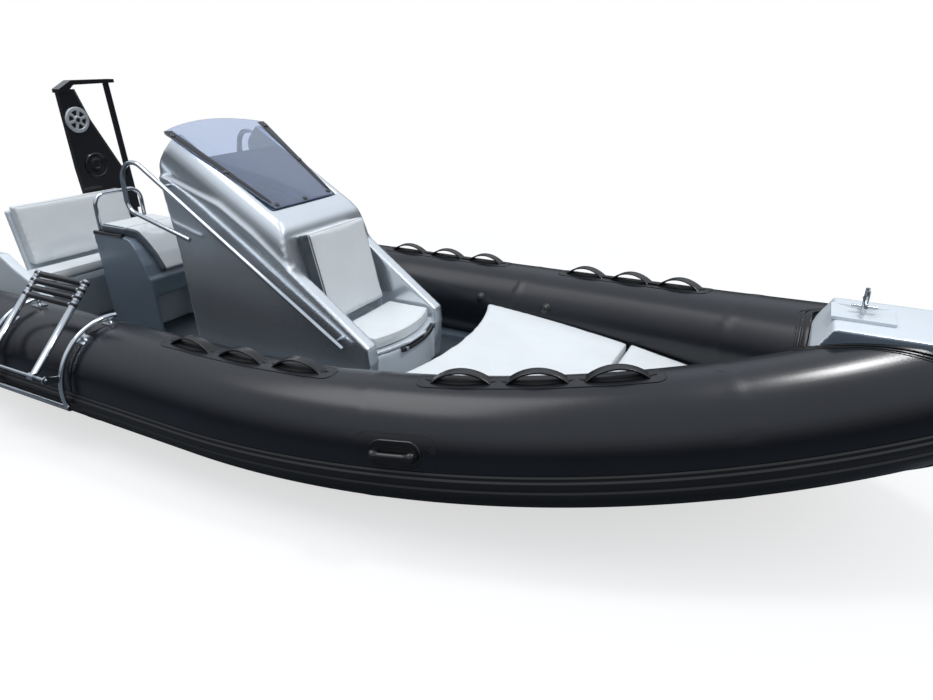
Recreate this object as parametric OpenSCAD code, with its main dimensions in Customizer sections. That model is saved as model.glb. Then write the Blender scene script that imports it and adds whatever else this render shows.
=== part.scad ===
// Rigid inflatable boat: deep-V hull between two air tubes, with console, jockey seat,
// stern bench, mast and a telescopic boarding ladder.
// +X is the bow, +Y port, +Z up. The origin is on the centreline at the waterline, below
// the aft face of the transom. Lengths are in millimetres.

/* [Tubes] */
// Diameter of an air tube
tube_d = 520; // [480:5:560]
// Distance between the axes of the two straight tubes
tube_spacing = 1890; // [1800:10:2000]
// Height of the straight tubes' tops above the waterline
tube_top = 550; // [520:5:600]
// Station where the tubes begin to bend towards the bow
bend_x = 2400; // [2300:10:2500]
// Radius of that bend, on the tube's axis
bend_r = 4700; // [4600:10:4900]
// Tilt of the bend's plane, which gives the bow its sheer
bend_tilt = 19; // [16:0.5:21]
// Station where the stern cone begins
cone_x = 120; // [60:10:200]
// Length of the stern cone
cone_len = 380; // [340:5:420]
// Diameter of the stern cone's small end
cone_end_d = 250; // [200:5:300]

/* [Rubbing strake] */
// Width of the strake round the tube
strake_w = 120; // [90:5:140]
// Height of the strake above the tube
strake_h = 18; // [12:1:22]

/* [Hand grabs] */
// Length of one grab, foot to foot
grab_len = 250; // [220:5:270]
// Height of its strap above the tube
grab_h = 48; // [40:1:60]
// Width of the strap
grab_w = 34; // [25:1:45]
// Thickness of the strap
grab_t = 9; // [6:0.5:12]
// Distance between the grabs of a group
grab_pitch = 304; // [295:1:320]
// Middle of the aft group, along the tube from the start of its bend
grab_aft_s = 200; // [120:5:260]
// Middle of the fore group, along the tube from the start of its bend
grab_fore_s = 1550; // [1400:5:1650]
// Width of the patch below a group
patch_w = 110; // [90:5:140]

/* [Hull] */
// Draught of the keel at its deepest
draught = 330; // [300:5:360]
// Thickness of the transom
transom_t = 60; // [50:1:70]
// Height of the transom above the waterline, beside the outboard's notch
transom_top = 430; // [400:5:450]
// Height of the notch's floor above the waterline
notch_z = 210; // [190:5:230]
// Width of the notch at its floor
notch_w = 560; // [480:10:620]
// Radius of the outboard's bolt holes
motor_bolt_r = 6.5; // [6:0.5:7]
// Height of the cockpit sole above the waterline
sole_z = 100; // [90:1:110]
// Thickness of the sole
sole_t = 20; // [15:1:25]
// Half width of the cockpit sole
sole_half = 640; // [600:5:660]

/* [Bow] */
// Width of the bow nose between the tubes
nose_w = 420; // [380:5:460]
// Foremost point of the nose
nose_tip_x = 5540; // [5500:5:5580]
// Station of the nose's aft edge
nose_aft_x = 4800; // [4760:5:4840]
// Height of the nose's top above the waterline
nose_top = 845; // [820:5:860]
// Height of the bow locker's top
locker_top = 330; // [310:5:350]
// Station of the locker's aft corners
locker_aft_x = 3050; // [3000:5:3100]
// Depth of the hollow in the locker's aft edge
locker_hollow = 110; // [80:5:140]
// Thickness of the bow cushions
bow_pad_t = 60; // [50:1:70]
// Station of the seam between the two bow cushions
bow_seam_x = 3990; // [3900:5:4050]

/* [Console] */
// Width of the console across its wings
console_w = 760; // [740:5:800]
// Thickness of the console's moulding
console_t = 30; // [25:1:35]
// Width of the recess between the wings
recess_w = 590; // [560:5:610]
// Thickness of the windscreen
screen_t = 6; // [5:0.5:8]
// Radius of the side rails' bar
rail_r = 12.5; // [10:0.5:14]
// Diameter of the steering wheel
wheel_d = 350; // [320:5:380]

/* [Seats] */
// Width of the helm seat's pod
helm_w = 420; // [400:5:460]
// Width of the stern bench
bench_w = 1240; // [1200:10:1260]
// Width of the bench's backrest
bench_back_w = 820; // [780:10:860]

/* [Mast] */
// Height of the mast's top above the waterline
mast_top = 1640; // [1580:5:1700]
// Starboard edge of the mast's broad leg, to port of the centreline
mast_y = 160; // [150:5:170]

/* [Boarding ladder] */
// Station of the ladder's middle
ladder_x = 1400; // [1350:5:1450]
// Distance between the frame's two bent bars
frame_w = 580; // [560:5:620]
// Distance between the swinging stiles
stile_w = 380; // [340:5:400]
// Length of the stiles
stile_len = 400; // [380:5:420]
// Outer radius of the stiles, then of each section inside the last
stile_r = 17; // [16:0.5:18]

/* [Hidden] */

$fn = 96;
// Faces in a full turn of the long bend
bend_fn = 720;
// Faces round a tube
tube_fn = 240;
// Clearance between pieces that seat on each other
fit = 0.3;
// Reach of a cut that has to pass right through
far = 3000;
tube_r = tube_d/2;
tube_y = tube_spacing/2;
tube_z = tube_top - tube_r;
nose_half = nose_w/2;

// Shape of the tube's axis ahead of the bend, as functions of the station
function bend_in(x) = bend_r - sqrt(bend_r^2 - max(0, x - bend_x)^2);
function axis_y(x) = tube_y - bend_in(x)*cos(bend_tilt);
function axis_z(x) = tube_z + bend_in(x)*sin(bend_tilt);

// A profile in (y, z) carried along x
module along_x(x0, x1) translate([x0, 0, 0]) rotate([90, 0, 90]) linear_extrude(x1 - x0) children();
// A profile in (x, z) carried along y
module along_y(y0, y1) translate([0, y1, 0]) rotate([90, 0, 0]) linear_extrude(y1 - y0) children();
// A profile in (x, y) carried along z
module along_z(z0, z1) translate([0, 0, z0]) linear_extrude(z1 - z0) children();
// The two sides of the boat
module both_sides() {
    children();
    mirror([0, 1, 0]) children();
}
// Starboard copy of a port piece
module starboard() mirror([0, 1, 0]) children();
// Moves a piece from the start of the bend to an angle along it
module on_bend(angle) {
    translate([bend_x, tube_y - bend_r*cos(bend_tilt), tube_z + bend_r*sin(bend_tilt)])
        multmatrix([[0, 1, 0, 0],
            [cos(bend_tilt), 0, -sin(bend_tilt), 0],
            [-sin(bend_tilt), 0, -cos(bend_tilt), 0]])
            rotate([0, 0, angle]) children();
}
// Moves a piece drawn about the tube's axis, with z up and y outboard, to an angle along the bend
module at_bend(angle) {
    on_bend(angle) translate([bend_r, 0, 0])
        multmatrix([[0, cos(bend_tilt), -sin(bend_tilt), 0],
            [1, 0, 0, 0],
            [0, -sin(bend_tilt), -cos(bend_tilt), 0]]) children();
}
// Carries a section of the port tube, drawn about the tube's axis in (y, z), along the bend
module along_bend(a0, a1) {
    on_bend(a0) rotate_extrude(angle = a1 - a0, $fn = bend_fn)
        translate([bend_r, 0]) rotate(-bend_tilt) mirror([0, 1]) children();
}
// Places along the tube are counted from the start of its bend
function bend_angle(s) = s/bend_r*180/PI;
// Moves a piece drawn about the tube's axis to a place along the tube
module at_path(s) {
    if (s < 0) translate([bend_x + s, tube_y, tube_z]) children();
    else at_bend(bend_angle(s)) children();
}
// Carries a section between two places along the tube
module along_path(s0, s1) {
    if (s0 < 0) along_tube(bend_x + s0, bend_x + min(s1, 0)) children();
    if (s1 > 0) along_bend(bend_angle(max(s0, 0)), bend_angle(s1)) children();
}
// Carries it along the straight tube
module along_tube(x0, x1) translate([0, tube_y, tube_z]) along_x(x0, x1) children();
// Sector of a ring round the tube's axis, from angle a0 to a1 above outboard
module ring_sector(r0, r1, a0, a1) {
    intersection() {
        difference() {
            circle(r1, $fn = tube_fn);
            circle(r0, $fn = tube_fn);
        }
        polygon([[0, 0], for (i = [0:4]) let (a = a0 + (a1 - a0)*i/4) 2*r1*[cos(a), sin(a)]]);
    }
}

// Angle along the bend by which the tube's outer side is past the nose's wall
bend_end = acos((nose_half - tube_y + bend_r*cos(bend_tilt))/((bend_r + tube_r)*cos(bend_tilt))) + 0.6;
// What the nose takes up, cut from the port side's pieces
module nose_trim(gap) {
    translate([nose_aft_x - gap, -far, -far]) cube([far, far + nose_half + gap, 2*far]);
}
// Rounding of the stern cone's end
cone_round = 40;
// Port tube, grown by a clearance
module tube_form(grow) {
    r = tube_r + grow;
    end_r = cone_end_d/2 + grow;
    along_tube(cone_x, bend_x) circle(r, $fn = tube_fn);
    translate([cone_x, tube_y, tube_z]) rotate([0, 90, 0]) rotate_extrude($fn = tube_fn)
        polygon([[0, 0], [r, 0],
            for (a = [0:15:90]) [end_r - cone_round*(1 - cos(a)), cone_round*(1 - sin(a)) - cone_len],
            [0, -cone_len]]);
    along_bend(0, bend_end) circle(r, $fn = tube_fn);
}
module port_tube() {
    difference() {
        tube_form(0);
        nose_trim(fit);
    }
}
tube_grey = "#2e3036";
module tube_starboard() color(tube_grey) starboard() port_tube();
module tube_port() color(tube_grey) port_tube();

// Rubbing strake: a band below the widest line of the tube, with two ridges
strake_a = strake_w/tube_r*180/PI;
strake_stern_x = cone_x + 20;
// Shares of the strake's width and height along its outer face
STRAKE_FACE = [[0, 0.15], [0.05, 0.45], [0.15, 0.5], [0.2, 0.88], [0.26, 1], [0.38, 1], [0.44, 0.88],
    [0.49, 0.5], [0.55, 0.5], [0.6, 0.88], [0.66, 1], [0.78, 1], [0.84, 0.88], [0.89, 0.5], [0.96, 0.45],
    [1, 0.15]];
strake_steps = 8;
module strake_section() {
    r0 = tube_r + fit;
    polygon(concat(
        [for (p = STRAKE_FACE) (r0 + strake_h*p[1])*[cos(strake_a*p[0]), -sin(strake_a*p[0])]],
        [for (i = [strake_steps:-1:0]) let (a = strake_a*i/strake_steps) r0*[cos(a), -sin(a)]]));
}
module port_strake() {
    difference() {
        union() {
            along_tube(strake_stern_x, bend_x) strake_section();
            along_bend(0, bend_end) strake_section();
        }
        nose_trim(fit);
    }
}
module strake_starboard() color("#26272a") starboard() port_strake();
module strake_port() color("#26272a") port_strake();

// Hand grab: a strap bowed along the tube, both feet trimmed to its patch
patch_t = 3;
patch_a = patch_w/tube_r*180/PI/2;
grab_bow_r = (grab_len^2/4 + grab_h^2)/(2*grab_h);
grab_bow_a = asin(grab_len/2/grab_bow_r);
grab_skirt = 6;
module grab() {
    reach = grab_bow_a + grab_skirt;
    translate([0, 0, tube_r + grab_h - grab_bow_r]) rotate([90, 0, 0]) rotate([0, 0, 90 - reach])
        rotate_extrude(angle = 2*reach)
            translate([grab_bow_r - grab_t, -grab_w/2]) square([grab_t, grab_w]);
}
grab_margin = 60;
module grab_group(middle) {
    half = grab_pitch + grab_len/2 + grab_margin;
    along_path(middle - half, middle + half)
        ring_sector(tube_r + fit, tube_r + patch_t, 90 - patch_a, 90 + patch_a);
    difference() {
        for (i = [-1:1]) at_path(middle + i*grab_pitch) grab();
        along_path(middle - half - 1, middle + half + 1) circle(tube_r + patch_t/2);
    }
}
rubber = "#1f2022";
module grabs_aft_starboard() color(rubber) starboard() grab_group(grab_aft_s);
module grabs_fore_starboard() color(rubber) starboard() grab_group(grab_fore_s);
module grabs_aft_port() color(rubber) grab_group(grab_aft_s);
module grabs_fore_port() color(rubber) grab_group(grab_fore_s);

// Straight stand-in for the tube below a short piece on the bend
module tube_core(r) rotate([0, 90, 0]) cylinder(r = r, h = tube_d, center = true, $fn = tube_fn);
// Moulded carry handle: an oval base and a bar with thick ends, on the widest line of the bend
carry_angle = 12.6;
carry_len = 210;
carry_base_w = 110;
carry_base_t = 6;
carry_bar_r = 15;
carry_gap = 30;
carry_rise = 14;
module carry_handle() {
    base = tube_r + carry_base_t;
    bar = base + carry_gap + carry_bar_r;
    straight = carry_len - carry_base_w;
    at_bend(carry_angle) rotate([carry_rise, 0, 0]) {
        difference() {
            rotate([-90, 0, 0]) {
                for (side = [-1, 1]) translate([side*straight/2, 0, 0]) cylinder(d = carry_base_w, h = base);
                translate([-straight/2, -carry_base_w/2, 0]) cube([straight, carry_base_w, base]);
            }
            tube_core(tube_r + fit);
        }
        for (side = [-1, 1]) translate([side*carry_len*0.36, 0, 0]) rotate([-90, 0, 0])
            translate([0, 0, base - 1]) cylinder(r = carry_bar_r*1.3, h = bar + carry_bar_r - base + 1);
        translate([0, bar, 0]) rotate([0, 90, 0])
            cylinder(r = carry_bar_r, h = carry_len*0.72, center = true);
    }
}
module carry_handles() color(rubber) both_sides() carry_handle();

// Inflation valves on the tubes' inboard sides
valve_r = 24;
valve_h = 12;
valve_dip = -22;
module valve() {
    difference() {
        rotate([90 + valve_dip, 0, 0]) translate([0, 0, tube_r - valve_h]) {
            cylinder(r = valve_r, h = valve_h*1.4);
            cylinder(r = valve_r*0.7, h = valve_h*2);
        }
        tube_core(tube_r + fit);
    }
}
module valves() color(rubber) both_sides() for (angle = [7.5, 13.6]) at_bend(angle) valve();

// Hull: V sections with a chine, whose upper edge follows the tubes' undersides
flange_in = 75;
flange_down = 180;
// Columns: station, keel height above its deepest point, chine half width, chine height
HULL_SECTIONS = [[transom_t, 30, 660, -70], [bend_x, 0, 670, -60], [3000, 5, 650, -40], [3600, 25, 570, 0],
    [4100, 85, 430, 60], [4420, 165, 320, 110], [4800, 330, 170, 190], [5100, 510, 70, 300],
    [5240, 630, 20, 345]];
module hull_form() {
    points = [for (s = HULL_SECTIONS)
        let (x = s[0], top_y = max(axis_y(x) - flange_in, s[2] + 30), top_z = axis_z(x) - flange_down)
        each [[x, 0, s[1] - draught], [x, s[2], s[3]], [x, top_y, top_z],
            [x, -top_y, top_z], [x, -s[2], s[3]]]];
    ring = 5;
    last = len(HULL_SECTIONS) - 1;
    sides = [for (i = [0:last - 1], j = [0:ring - 1])
        let (a = i*ring + j, b = i*ring + (j + 1) % ring)
        each [[a, a + ring, b], [b, a + ring, b + ring]]];
    aft_cap = [for (j = [0:ring - 1]) j];
    fore_cap = [for (j = [ring - 1:-1:0]) last*ring + j];
    polyhedron(points, concat(sides, [aft_cap, fore_cap]));
}
well_end_x = 4420;
well_taper_x = 3000;
well_end_half = 150;
module cockpit_plan() {
    polygon([[transom_t, -sole_half], [well_taper_x, -sole_half], [well_end_x, -well_end_half],
        [well_end_x, well_end_half], [well_taper_x, sole_half], [transom_t, sole_half]]);
}
nose_keel_z = 260;
nose_keel_half = 60;
nose_chine_z = 430;
module nose_section(gap) {
    polygon([[-nose_keel_half - gap, nose_keel_z - gap], [nose_keel_half + gap, nose_keel_z - gap],
        [nose_half + gap, nose_chine_z], [nose_half + gap, far], [-nose_half - gap, far],
        [-nose_half - gap, nose_chine_z]]);
}
sump_len = 240;
sump_half = 200;
sump_z = -120;
module tube_seats(gap) {
    both_sides() difference() {
        tube_form(gap);
        nose_trim(0);
    }
}
module hull_shell() {
    difference() {
        hull_form();
        along_z(sole_z - sole_t, far) cockpit_plan();
        along_x(nose_aft_x - fit, far + nose_tip_x) nose_section(fit);
    }
}
hull_grey = "#5b646b";
module hull() {
    color(hull_grey) difference() {
        hull_shell();
        tube_seats(fit);
        translate([transom_t - 1, -sump_half, sump_z]) cube([sump_len, 2*sump_half, far]);
    }
}
module sole() {
    color("#444f55") difference() {
        along_z(sole_z - sole_t, sole_z) intersection() {
            cockpit_plan();
            translate([transom_t, -sole_half + fit]) square([far, 2*(sole_half - fit)]);
        }
        tube_seats(fit);
    }
}

// Transom with the outboard's notch and its standard bolt holes
transom_half = 690;
motor_upper_w = 327;
motor_lower_w = 250.8;
motor_rows = 203;
motor_below = 50;
notch_flare = 50;
module transom() {
    keel = HULL_SECTIONS[0][1] - draught;
    color(hull_grey) difference() {
        along_x(0, transom_t) difference() {
            polygon([[0, keel], [HULL_SECTIONS[0][2], HULL_SECTIONS[0][3]], [transom_half, 0],
                [transom_half, transom_top - 90], [transom_half - 60, transom_top],
                [-transom_half + 60, transom_top], [-transom_half, transom_top - 90], [-transom_half, 0],
                [-HULL_SECTIONS[0][2], HULL_SECTIONS[0][3]]]);
            polygon([[-notch_w/2, notch_z], [notch_w/2, notch_z],
                [notch_w/2 + notch_flare, far], [-notch_w/2 - notch_flare, far]]);
        }
        tube_seats(fit);
        for (row = [[motor_upper_w, 0], [motor_lower_w, motor_rows]], side = [-1, 1])
            translate([-1, side*row[0]/2, notch_z - motor_below - row[1]]) rotate([0, 90, 0])
                cylinder(r = motor_bolt_r, h = transom_t + 2);
    }
}

// Bow nose: blunt in plan, raked stem, chamfered aft edge
nose_corner_r = 140;
nose_chamfer = 65;
nose_chamfer_h = 110;
module bow_nose() {
    color("#8d979d") intersection() {
        along_z(nose_keel_z, far) {
            translate([nose_aft_x, -nose_half]) square([nose_tip_x - nose_corner_r - nose_aft_x, nose_w]);
            translate([nose_tip_x - nose_corner_r - 1, nose_corner_r - nose_half])
                square([nose_corner_r + 1, nose_w - 2*nose_corner_r]);
            for (side = [-1, 1]) translate([nose_tip_x - nose_corner_r, side*(nose_half - nose_corner_r)])
                circle(nose_corner_r);
        }
        along_y(-far, far) polygon([[nose_aft_x, nose_keel_z], [nose_aft_x, nose_top - nose_chamfer_h],
            [nose_aft_x + nose_chamfer, nose_top], [nose_tip_x - 40, nose_top], [nose_tip_x, nose_top - 40],
            [nose_tip_x, nose_top - 150], [nose_tip_x - 30, nose_top - 200], [nose_tip_x - 140, nose_chine_z],
            [nose_tip_x - 350, nose_keel_z]]);
        along_x(0, 2*far) nose_section(0);
    }
}
// Raised plate with the mooring post and its cross pin
post_x = 4960;
plate_t = 12;
post_h = 95;
module bow_post() {
    color("#c9ced2") translate([post_x, 0, nose_top + fit]) {
        translate([-110, -90, 0]) cube([220, 180, plate_t]);
        for (side = [-1, 1]) translate([0, side*22, plate_t - 1]) cylinder(r = 8, h = post_h);
        translate([0, 0, plate_t + post_h*0.45]) rotate([90, 0, 0]) cylinder(r = 7, h = 130, center = true);
    }
}

// Bow locker under the cushions, its aft edge hollowed by an arc
hollow_half = 600;
hollow_r = (hollow_half^2 + locker_hollow^2)/(2*locker_hollow);
locker_stations = [for (i = [0:4]) locker_aft_x + (well_end_x - locker_aft_x)*i/4];
locker_in = flange_in + 5;
module locker_plan(inset) {
    difference() {
        polygon(concat(
            [for (x = locker_stations) [x, axis_y(x) - locker_in]],
            [for (i = [len(locker_stations) - 1:-1:0])
                [locker_stations[i], locker_in - axis_y(locker_stations[i])]]));
        translate([well_end_x - fit - inset, -far/2]) square([far, far]);
        translate([locker_aft_x + locker_hollow - hollow_r, 0]) circle(hollow_r + inset, $fn = 360);
    }
}
module bow_locker() {
    color("#b4bcc2") difference() {
        union() {
            along_z(sole_z, locker_top) intersection() {
                locker_plan(0);
                cockpit_plan();
            }
            intersection() {
                along_z(sole_z, locker_top) locker_plan(0);
                along_y(-far, far) polygon(concat(
                    [for (x = locker_stations) [x, axis_z(x) - flange_down]],
                    [[well_end_x, far], [locker_aft_x, far]]));
            }
        }
        hull_shell();
        tube_seats(fit);
    }
}
pad_gap = 6;
module bow_pad(x0, x1) {
    difference() {
        along_z(locker_top + fit, locker_top + bow_pad_t) intersection() {
            locker_plan(pad_gap);
            translate([x0, -far/2]) square([x1 - x0, far]);
        }
        tube_seats(pad_gap);
    }
}
cushion = "#dfe3e6";
module bow_cushion_aft() color(cushion) bow_pad(locker_aft_x, bow_seam_x - 2);
module bow_cushion_fore() color(cushion) bow_pad(bow_seam_x + 2, well_end_x);

// Console: side wings with a creased top edge, and between them a body with rounded shoulders
console_half = console_w/2;
recess_half = recess_w/2;
cavity_half = 270;
console_aft_x = 1600;
// Lower and upper end of the windscreen in (x, z), on the centreline
screen_low = [2228, 1048];
screen_high = [1620, 1420];
screen_rise = atan2(screen_high[1] - screen_low[1], screen_low[0] - screen_high[0]);
screen_run = norm(screen_high - screen_low);
// Foot and head of the wall behind the front backrest
front_low = [2470, 430];
front_high = [2340, 950];
seat_z = 350;
// Upper edge of a wing, and the body's edge from there up to the screen
WING_EDGE = [[1536, 1187], [1633, 1173], [1956, 1069], [2163, 944], [2862, 426]];
BODY_EDGE = [[1536, 1187], [1536, 1245], [1562, 1286], [1600, 1333]];
wing_front_x = 2872;
wing_front_z = 340;
aft_knee_z = 760;
aft_foot = 40;
module wing_profile() {
    polygon(concat([[console_aft_x + aft_foot, sole_z], [console_aft_x, aft_knee_z]], WING_EDGE,
        [[wing_front_x, wing_front_z], [wing_front_x - aft_foot/2, sole_z]]));
}
// Rounding of the body's brow ahead of the screen
brow = 120;
// Share of the screen's length that the body reaches
body_reach = 0.95;
module body_profile() {
    polygon(concat([[console_aft_x + aft_foot, sole_z], [console_aft_x, aft_knee_z]], BODY_EDGE,
        [screen_low + body_reach*(screen_high - screen_low), screen_low,
            screen_low + brow*[0.55, -0.3], screen_low + brow*[0.85, -0.65],
            front_high, front_low, [front_low[0], sole_z]]));
}
// Moves a piece drawn on the screen's plane, with x towards the bow, to the console
module on_screen() translate([screen_low[0], 0, screen_low[1]]) rotate([0, screen_rise, 0]) children();
// Section of the body square to the screen: upright sides and elliptical shoulders
shoulder_in = 15;
shoulder_w = 90;
shoulder_h = 150;
shoulder_drop = 140;
module shoulder_section() {
    side = console_half - shoulder_in;
    curve = [for (a = [0:5:75]) [side - shoulder_w*(1 - cos(a)), shoulder_h*sin(a) - shoulder_drop]];
    polygon(concat([[side, -far/2]], curve, [for (i = [len(curve) - 1:-1:0]) [-curve[i][0], curve[i][1]]],
        [[-side, -far/2]]));
}
// Plan of the front seat: square aft, bowed at the bow end
seat_tip_x = 2910;
seat_bow = 70;
seat_bow_r = (recess_half^2 + seat_bow^2)/(2*seat_bow);
module seat_plan(x0, half, inset) {
    intersection() {
        translate([x0, -half]) square([seat_tip_x - x0, 2*half]);
        translate([seat_tip_x - seat_bow_r, 0]) circle(seat_bow_r - inset, $fn = 360);
    }
}
wing_lap = 8;
module console() {
    color("#9aa3aa") difference() {
        union() {
            both_sides() along_y(recess_half, console_half) wing_profile();
            intersection() {
                along_y(-far/2, far/2) body_profile();
                on_screen() along_x(-far/2, far/2) shoulder_section();
            }
            along_z(sole_z, seat_z) seat_plan(front_low[0] - console_t, recess_half + wing_lap, 0);
        }
        along_y(-cavity_half, cavity_half) polygon([[0, sole_z - 1], [front_low[0] - console_t, sole_z - 1],
            front_low + [-console_t, -console_t], front_high + [-2*console_t, -console_t],
            screen_low + [0, -console_t], screen_low + [-console_t, far], [0, far]]);
    }
}
// Dash with its hood below the windscreen, and a boss for the steering column
dash_low = [console_aft_x - 30, 880];
dash_high = [console_aft_x + 110, 1185];
dash_lean = atan2(dash_high[0] - dash_low[0], dash_high[1] - dash_low[1]);
dash_t = 30;
// Share of the screen's length that the hood reaches, and its depth below the screen
hood_reach = 0.68;
hood_drop = 14;
hood_gap = 10;
boss_r = 42;
boss_h = 30;
module dash() {
    up = (screen_high - screen_low)/screen_run;
    hood_aft = screen_low + up*screen_run*hood_reach - hood_drop*[up[1], -up[0]];
    hood_fore = screen_low + up*hood_gap - hood_drop*[up[1], -up[0]];
    color("#3b4148") {
        along_y(-cavity_half + fit, cavity_half - fit)
            polygon([dash_low, dash_high, hood_aft, hood_fore, hood_fore + dash_t*[-0.5, -1],
                hood_aft + dash_t*[0.7, -1], dash_high + dash_t*[0.8, -1], dash_low + dash_t*[1.1, -0.3]]);
        on_column() translate([0, 0, -column_len - boss_h]) cylinder(r = boss_r, h = boss_h);
    }
}
// Windscreen: narrow at its foot, wide and bowed at its head
screen_low_half = 245;
screen_high_half = 375;
screen_bow = 60;
screen_corner = 35;
module screen_plan() {
    flat = screen_high_half - screen_corner;
    head = [for (i = [-8:8]) let (t = i/8) [-screen_run - screen_bow*(1 - t^2), -t*flat]];
    polygon(concat(head, [[screen_corner - screen_run, -screen_high_half], [-screen_corner, -screen_low_half],
        [0, screen_corner - screen_low_half], [0, screen_low_half - screen_corner],
        [-screen_corner, screen_low_half], [screen_corner - screen_run, screen_high_half]]));
}
module windscreen() color("#7b91a8", 0.6) on_screen() along_z(fit, fit + screen_t) screen_plan();

// Bar bent in one plane: each step is a straight run, then a turn of a given radius.
// The runs are a shade thicker than the turns and lap them.
bar_lap = 0.4;
module bent_bar(r, steps, i = 0) {
    if (i < len(steps)) {
        run = steps[i][0];
        turn = steps[i][1];
        bend = steps[i][2];
        side = turn < 0 ? -1 : 1;
        translate([-bar_lap, 0, 0]) rotate([0, 90, 0]) cylinder(r = r + bar_lap, h = run + 2*bar_lap);
        translate([run, side*bend, 0]) {
            if (turn != 0) rotate([0, 0, turn < 0 ? 90 + turn : -90])
                rotate_extrude(angle = abs(turn)) translate([bend, 0]) circle(r);
            rotate([0, 0, turn]) translate([0, -side*bend, 0]) bent_bar(r, steps, i + 1);
        }
    }
}
rail_y = console_half + 45;
rail_start = [2735, 423];
rail_slope = 32.9;
// Each step: straight run, turn and radius of the turn
RAIL_STEPS = [[1500, 123, 110], [100, 75, 70], [415, 0, 0]];
// Places of the two stand-offs along the first run
RAIL_STANDS = [53, 1328];
module port_rail() {
    translate([rail_start[0], rail_y, rail_start[1]]) rotate([90, 0, 0]) rotate([0, 0, 180 - rail_slope])
        bent_bar(rail_r, RAIL_STEPS);
    for (s = RAIL_STANDS)
        translate([rail_start[0] - s*cos(rail_slope), console_half + fit, rail_start[1] + s*sin(rail_slope)])
            rotate([-90, 0, 0]) cylinder(r = rail_r*0.7, h = rail_y - console_half);
}
steel = "#d4d8de";
module rail_starboard() color(steel) starboard() port_rail();
module rail_port() color(steel) port_rail();

// Front seat lid, hinged at its fore end
lid_t = 20;
lid_gap = 5;
hinge_r = 8;
hinge_w = 180;
hinge_x = seat_tip_x + 12;
hinge_z = seat_z + lid_t + fit;
lid_aft_x = front_low[0] + lid_t + 50;
module front_lid() {
    color("#b4bcc2") {
        along_z(seat_z + fit, seat_z + fit + lid_t) seat_plan(lid_aft_x, recess_half - lid_gap, 0);
        translate([hinge_x, 0, hinge_z]) rotate([90, 0, 0]) cylinder(r = hinge_r, h = hinge_w, center = true);
        translate([hinge_x - hinge_w/3, -hinge_w/2, seat_z + fit + lid_t/4])
            cube([hinge_w/3, hinge_w, lid_t/2]);
    }
}
front_pad_t = 70;
pad_inset = 15;
module front_cushion() {
    color(cushion) along_z(seat_z + lid_t + 2*fit, seat_z + lid_t + 2*fit + front_pad_t)
        seat_plan(lid_aft_x + pad_inset, recess_half - pad_inset, pad_inset);
}
// Front backrest, on the wall between the wings
front_back = [80, 500, 500];
front_back_low = 10;
module front_backrest() {
    rake = atan2(front_high[0] - front_low[0], front_high[1] - front_low[1]);
    color(cushion) translate([front_low[0], 0, front_low[1]]) rotate([0, rake, 0])
        translate([fit, -front_back[1]/2, front_back_low]) cube(front_back);
}

// Steering wheel with its hub, column and three spokes
wheel_rim_r = 14;
wheel_tilt = 30;
wheel_at = [1500, 0, 1010];
hub_r = 32;
column_len = 102;
module on_column() translate(wheel_at) rotate([0, wheel_tilt - 90, 0]) children();
module steering_wheel() {
    color("#1b1c1e") on_column() {
        rotate_extrude() translate([wheel_d/2 - wheel_rim_r, 0]) circle(wheel_rim_r, $fn = 48);
        translate([0, 0, -hub_r]) cylinder(r = hub_r, h = hub_r + 10);
        translate([0, 0, fit - column_len]) cylinder(r = wheel_rim_r, h = column_len - hub_r + 1);
        for (i = [0:2]) rotate([0, 0, 120*i]) translate([hub_r - 6, -14, -6])
            cube([wheel_d/2 - wheel_rim_r - hub_r, 28, 10]);
    }
}
// Throttle on the starboard end of the dash's face
throttle_y = 45 - cavity_half;
module throttle() {
    box = [80, 56, 45];
    color(steel) translate([(dash_low[0] + dash_high[0])/2, throttle_y, (dash_low[1] + dash_high[1])/2])
        rotate([0, dash_lean - 90, 0]) {
            translate([-box[0]/2, -box[1]/2, fit]) cube(box);
            translate([0, 0, box[2] - 5]) rotate([0, 35, 0]) {
                cylinder(r = 8, h = 120);
                translate([0, 0, 115]) rotate([90, 0, 0]) cylinder(r = 15, h = 70, center = true);
            }
        }
}

// Helm seat: moulded pod with a knee recess, cushion over its top and front, and a back hoop
helm_half = helm_w/2;
// Top and front slope of the pod, and the cushion's outer line
POD_TOP = [[605, 740], [880, 740], [940, 725], [985, 670], [1040, 570], [1066, 500]];
PAD_TOP = [[1096, 520], [1052, 626], [1002, 712], [952, 778], [890, 792], [655, 796]];
pod_foot = [640, 1095];
pod_knee_z = 365;
pod_brow_z = 480;
pod_knee_x = 900;
pod_wall = 25;
module helm_pod() {
    color("#4e5861") difference() {
        along_y(-helm_half, helm_half)
            polygon(concat([[pod_foot[0], sole_z]], POD_TOP,
                [[pod_foot[1] - pod_wall/2, pod_brow_z], [pod_foot[1], sole_z]]));
        along_y(-helm_half + pod_wall, helm_half - pod_wall) polygon([[pod_knee_x, sole_z - 1],
            [pod_knee_x + pod_wall, pod_knee_z - pod_wall], [pod_knee_x + 3*pod_wall, pod_knee_z],
            [far, pod_knee_z], [far, sole_z - 1]]);
    }
}
helm_pad_in = 15;
helm_pad_tip = 110;
module helm_cushion() {
    half = helm_half - helm_pad_in;
    color(cushion) intersection() {
        along_y(-half, half) polygon(concat([[PAD_TOP[5][0], POD_TOP[0][1] + fit]],
            [for (i = [1:5]) POD_TOP[i] + fit*[1, 1]], PAD_TOP));
        along_z(0, far) polygon([[0, -far], [POD_TOP[1][0], -half - 1], [PAD_TOP[0][0] + 1, -helm_pad_tip],
            [PAD_TOP[0][0] + 1, helm_pad_tip], [POD_TOP[1][0], half + 1], [0, far]]);
    }
}
hoop_x = 628;
hoop_half = 170;
hoop_h = 235;
hoop_bend = 80;
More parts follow.
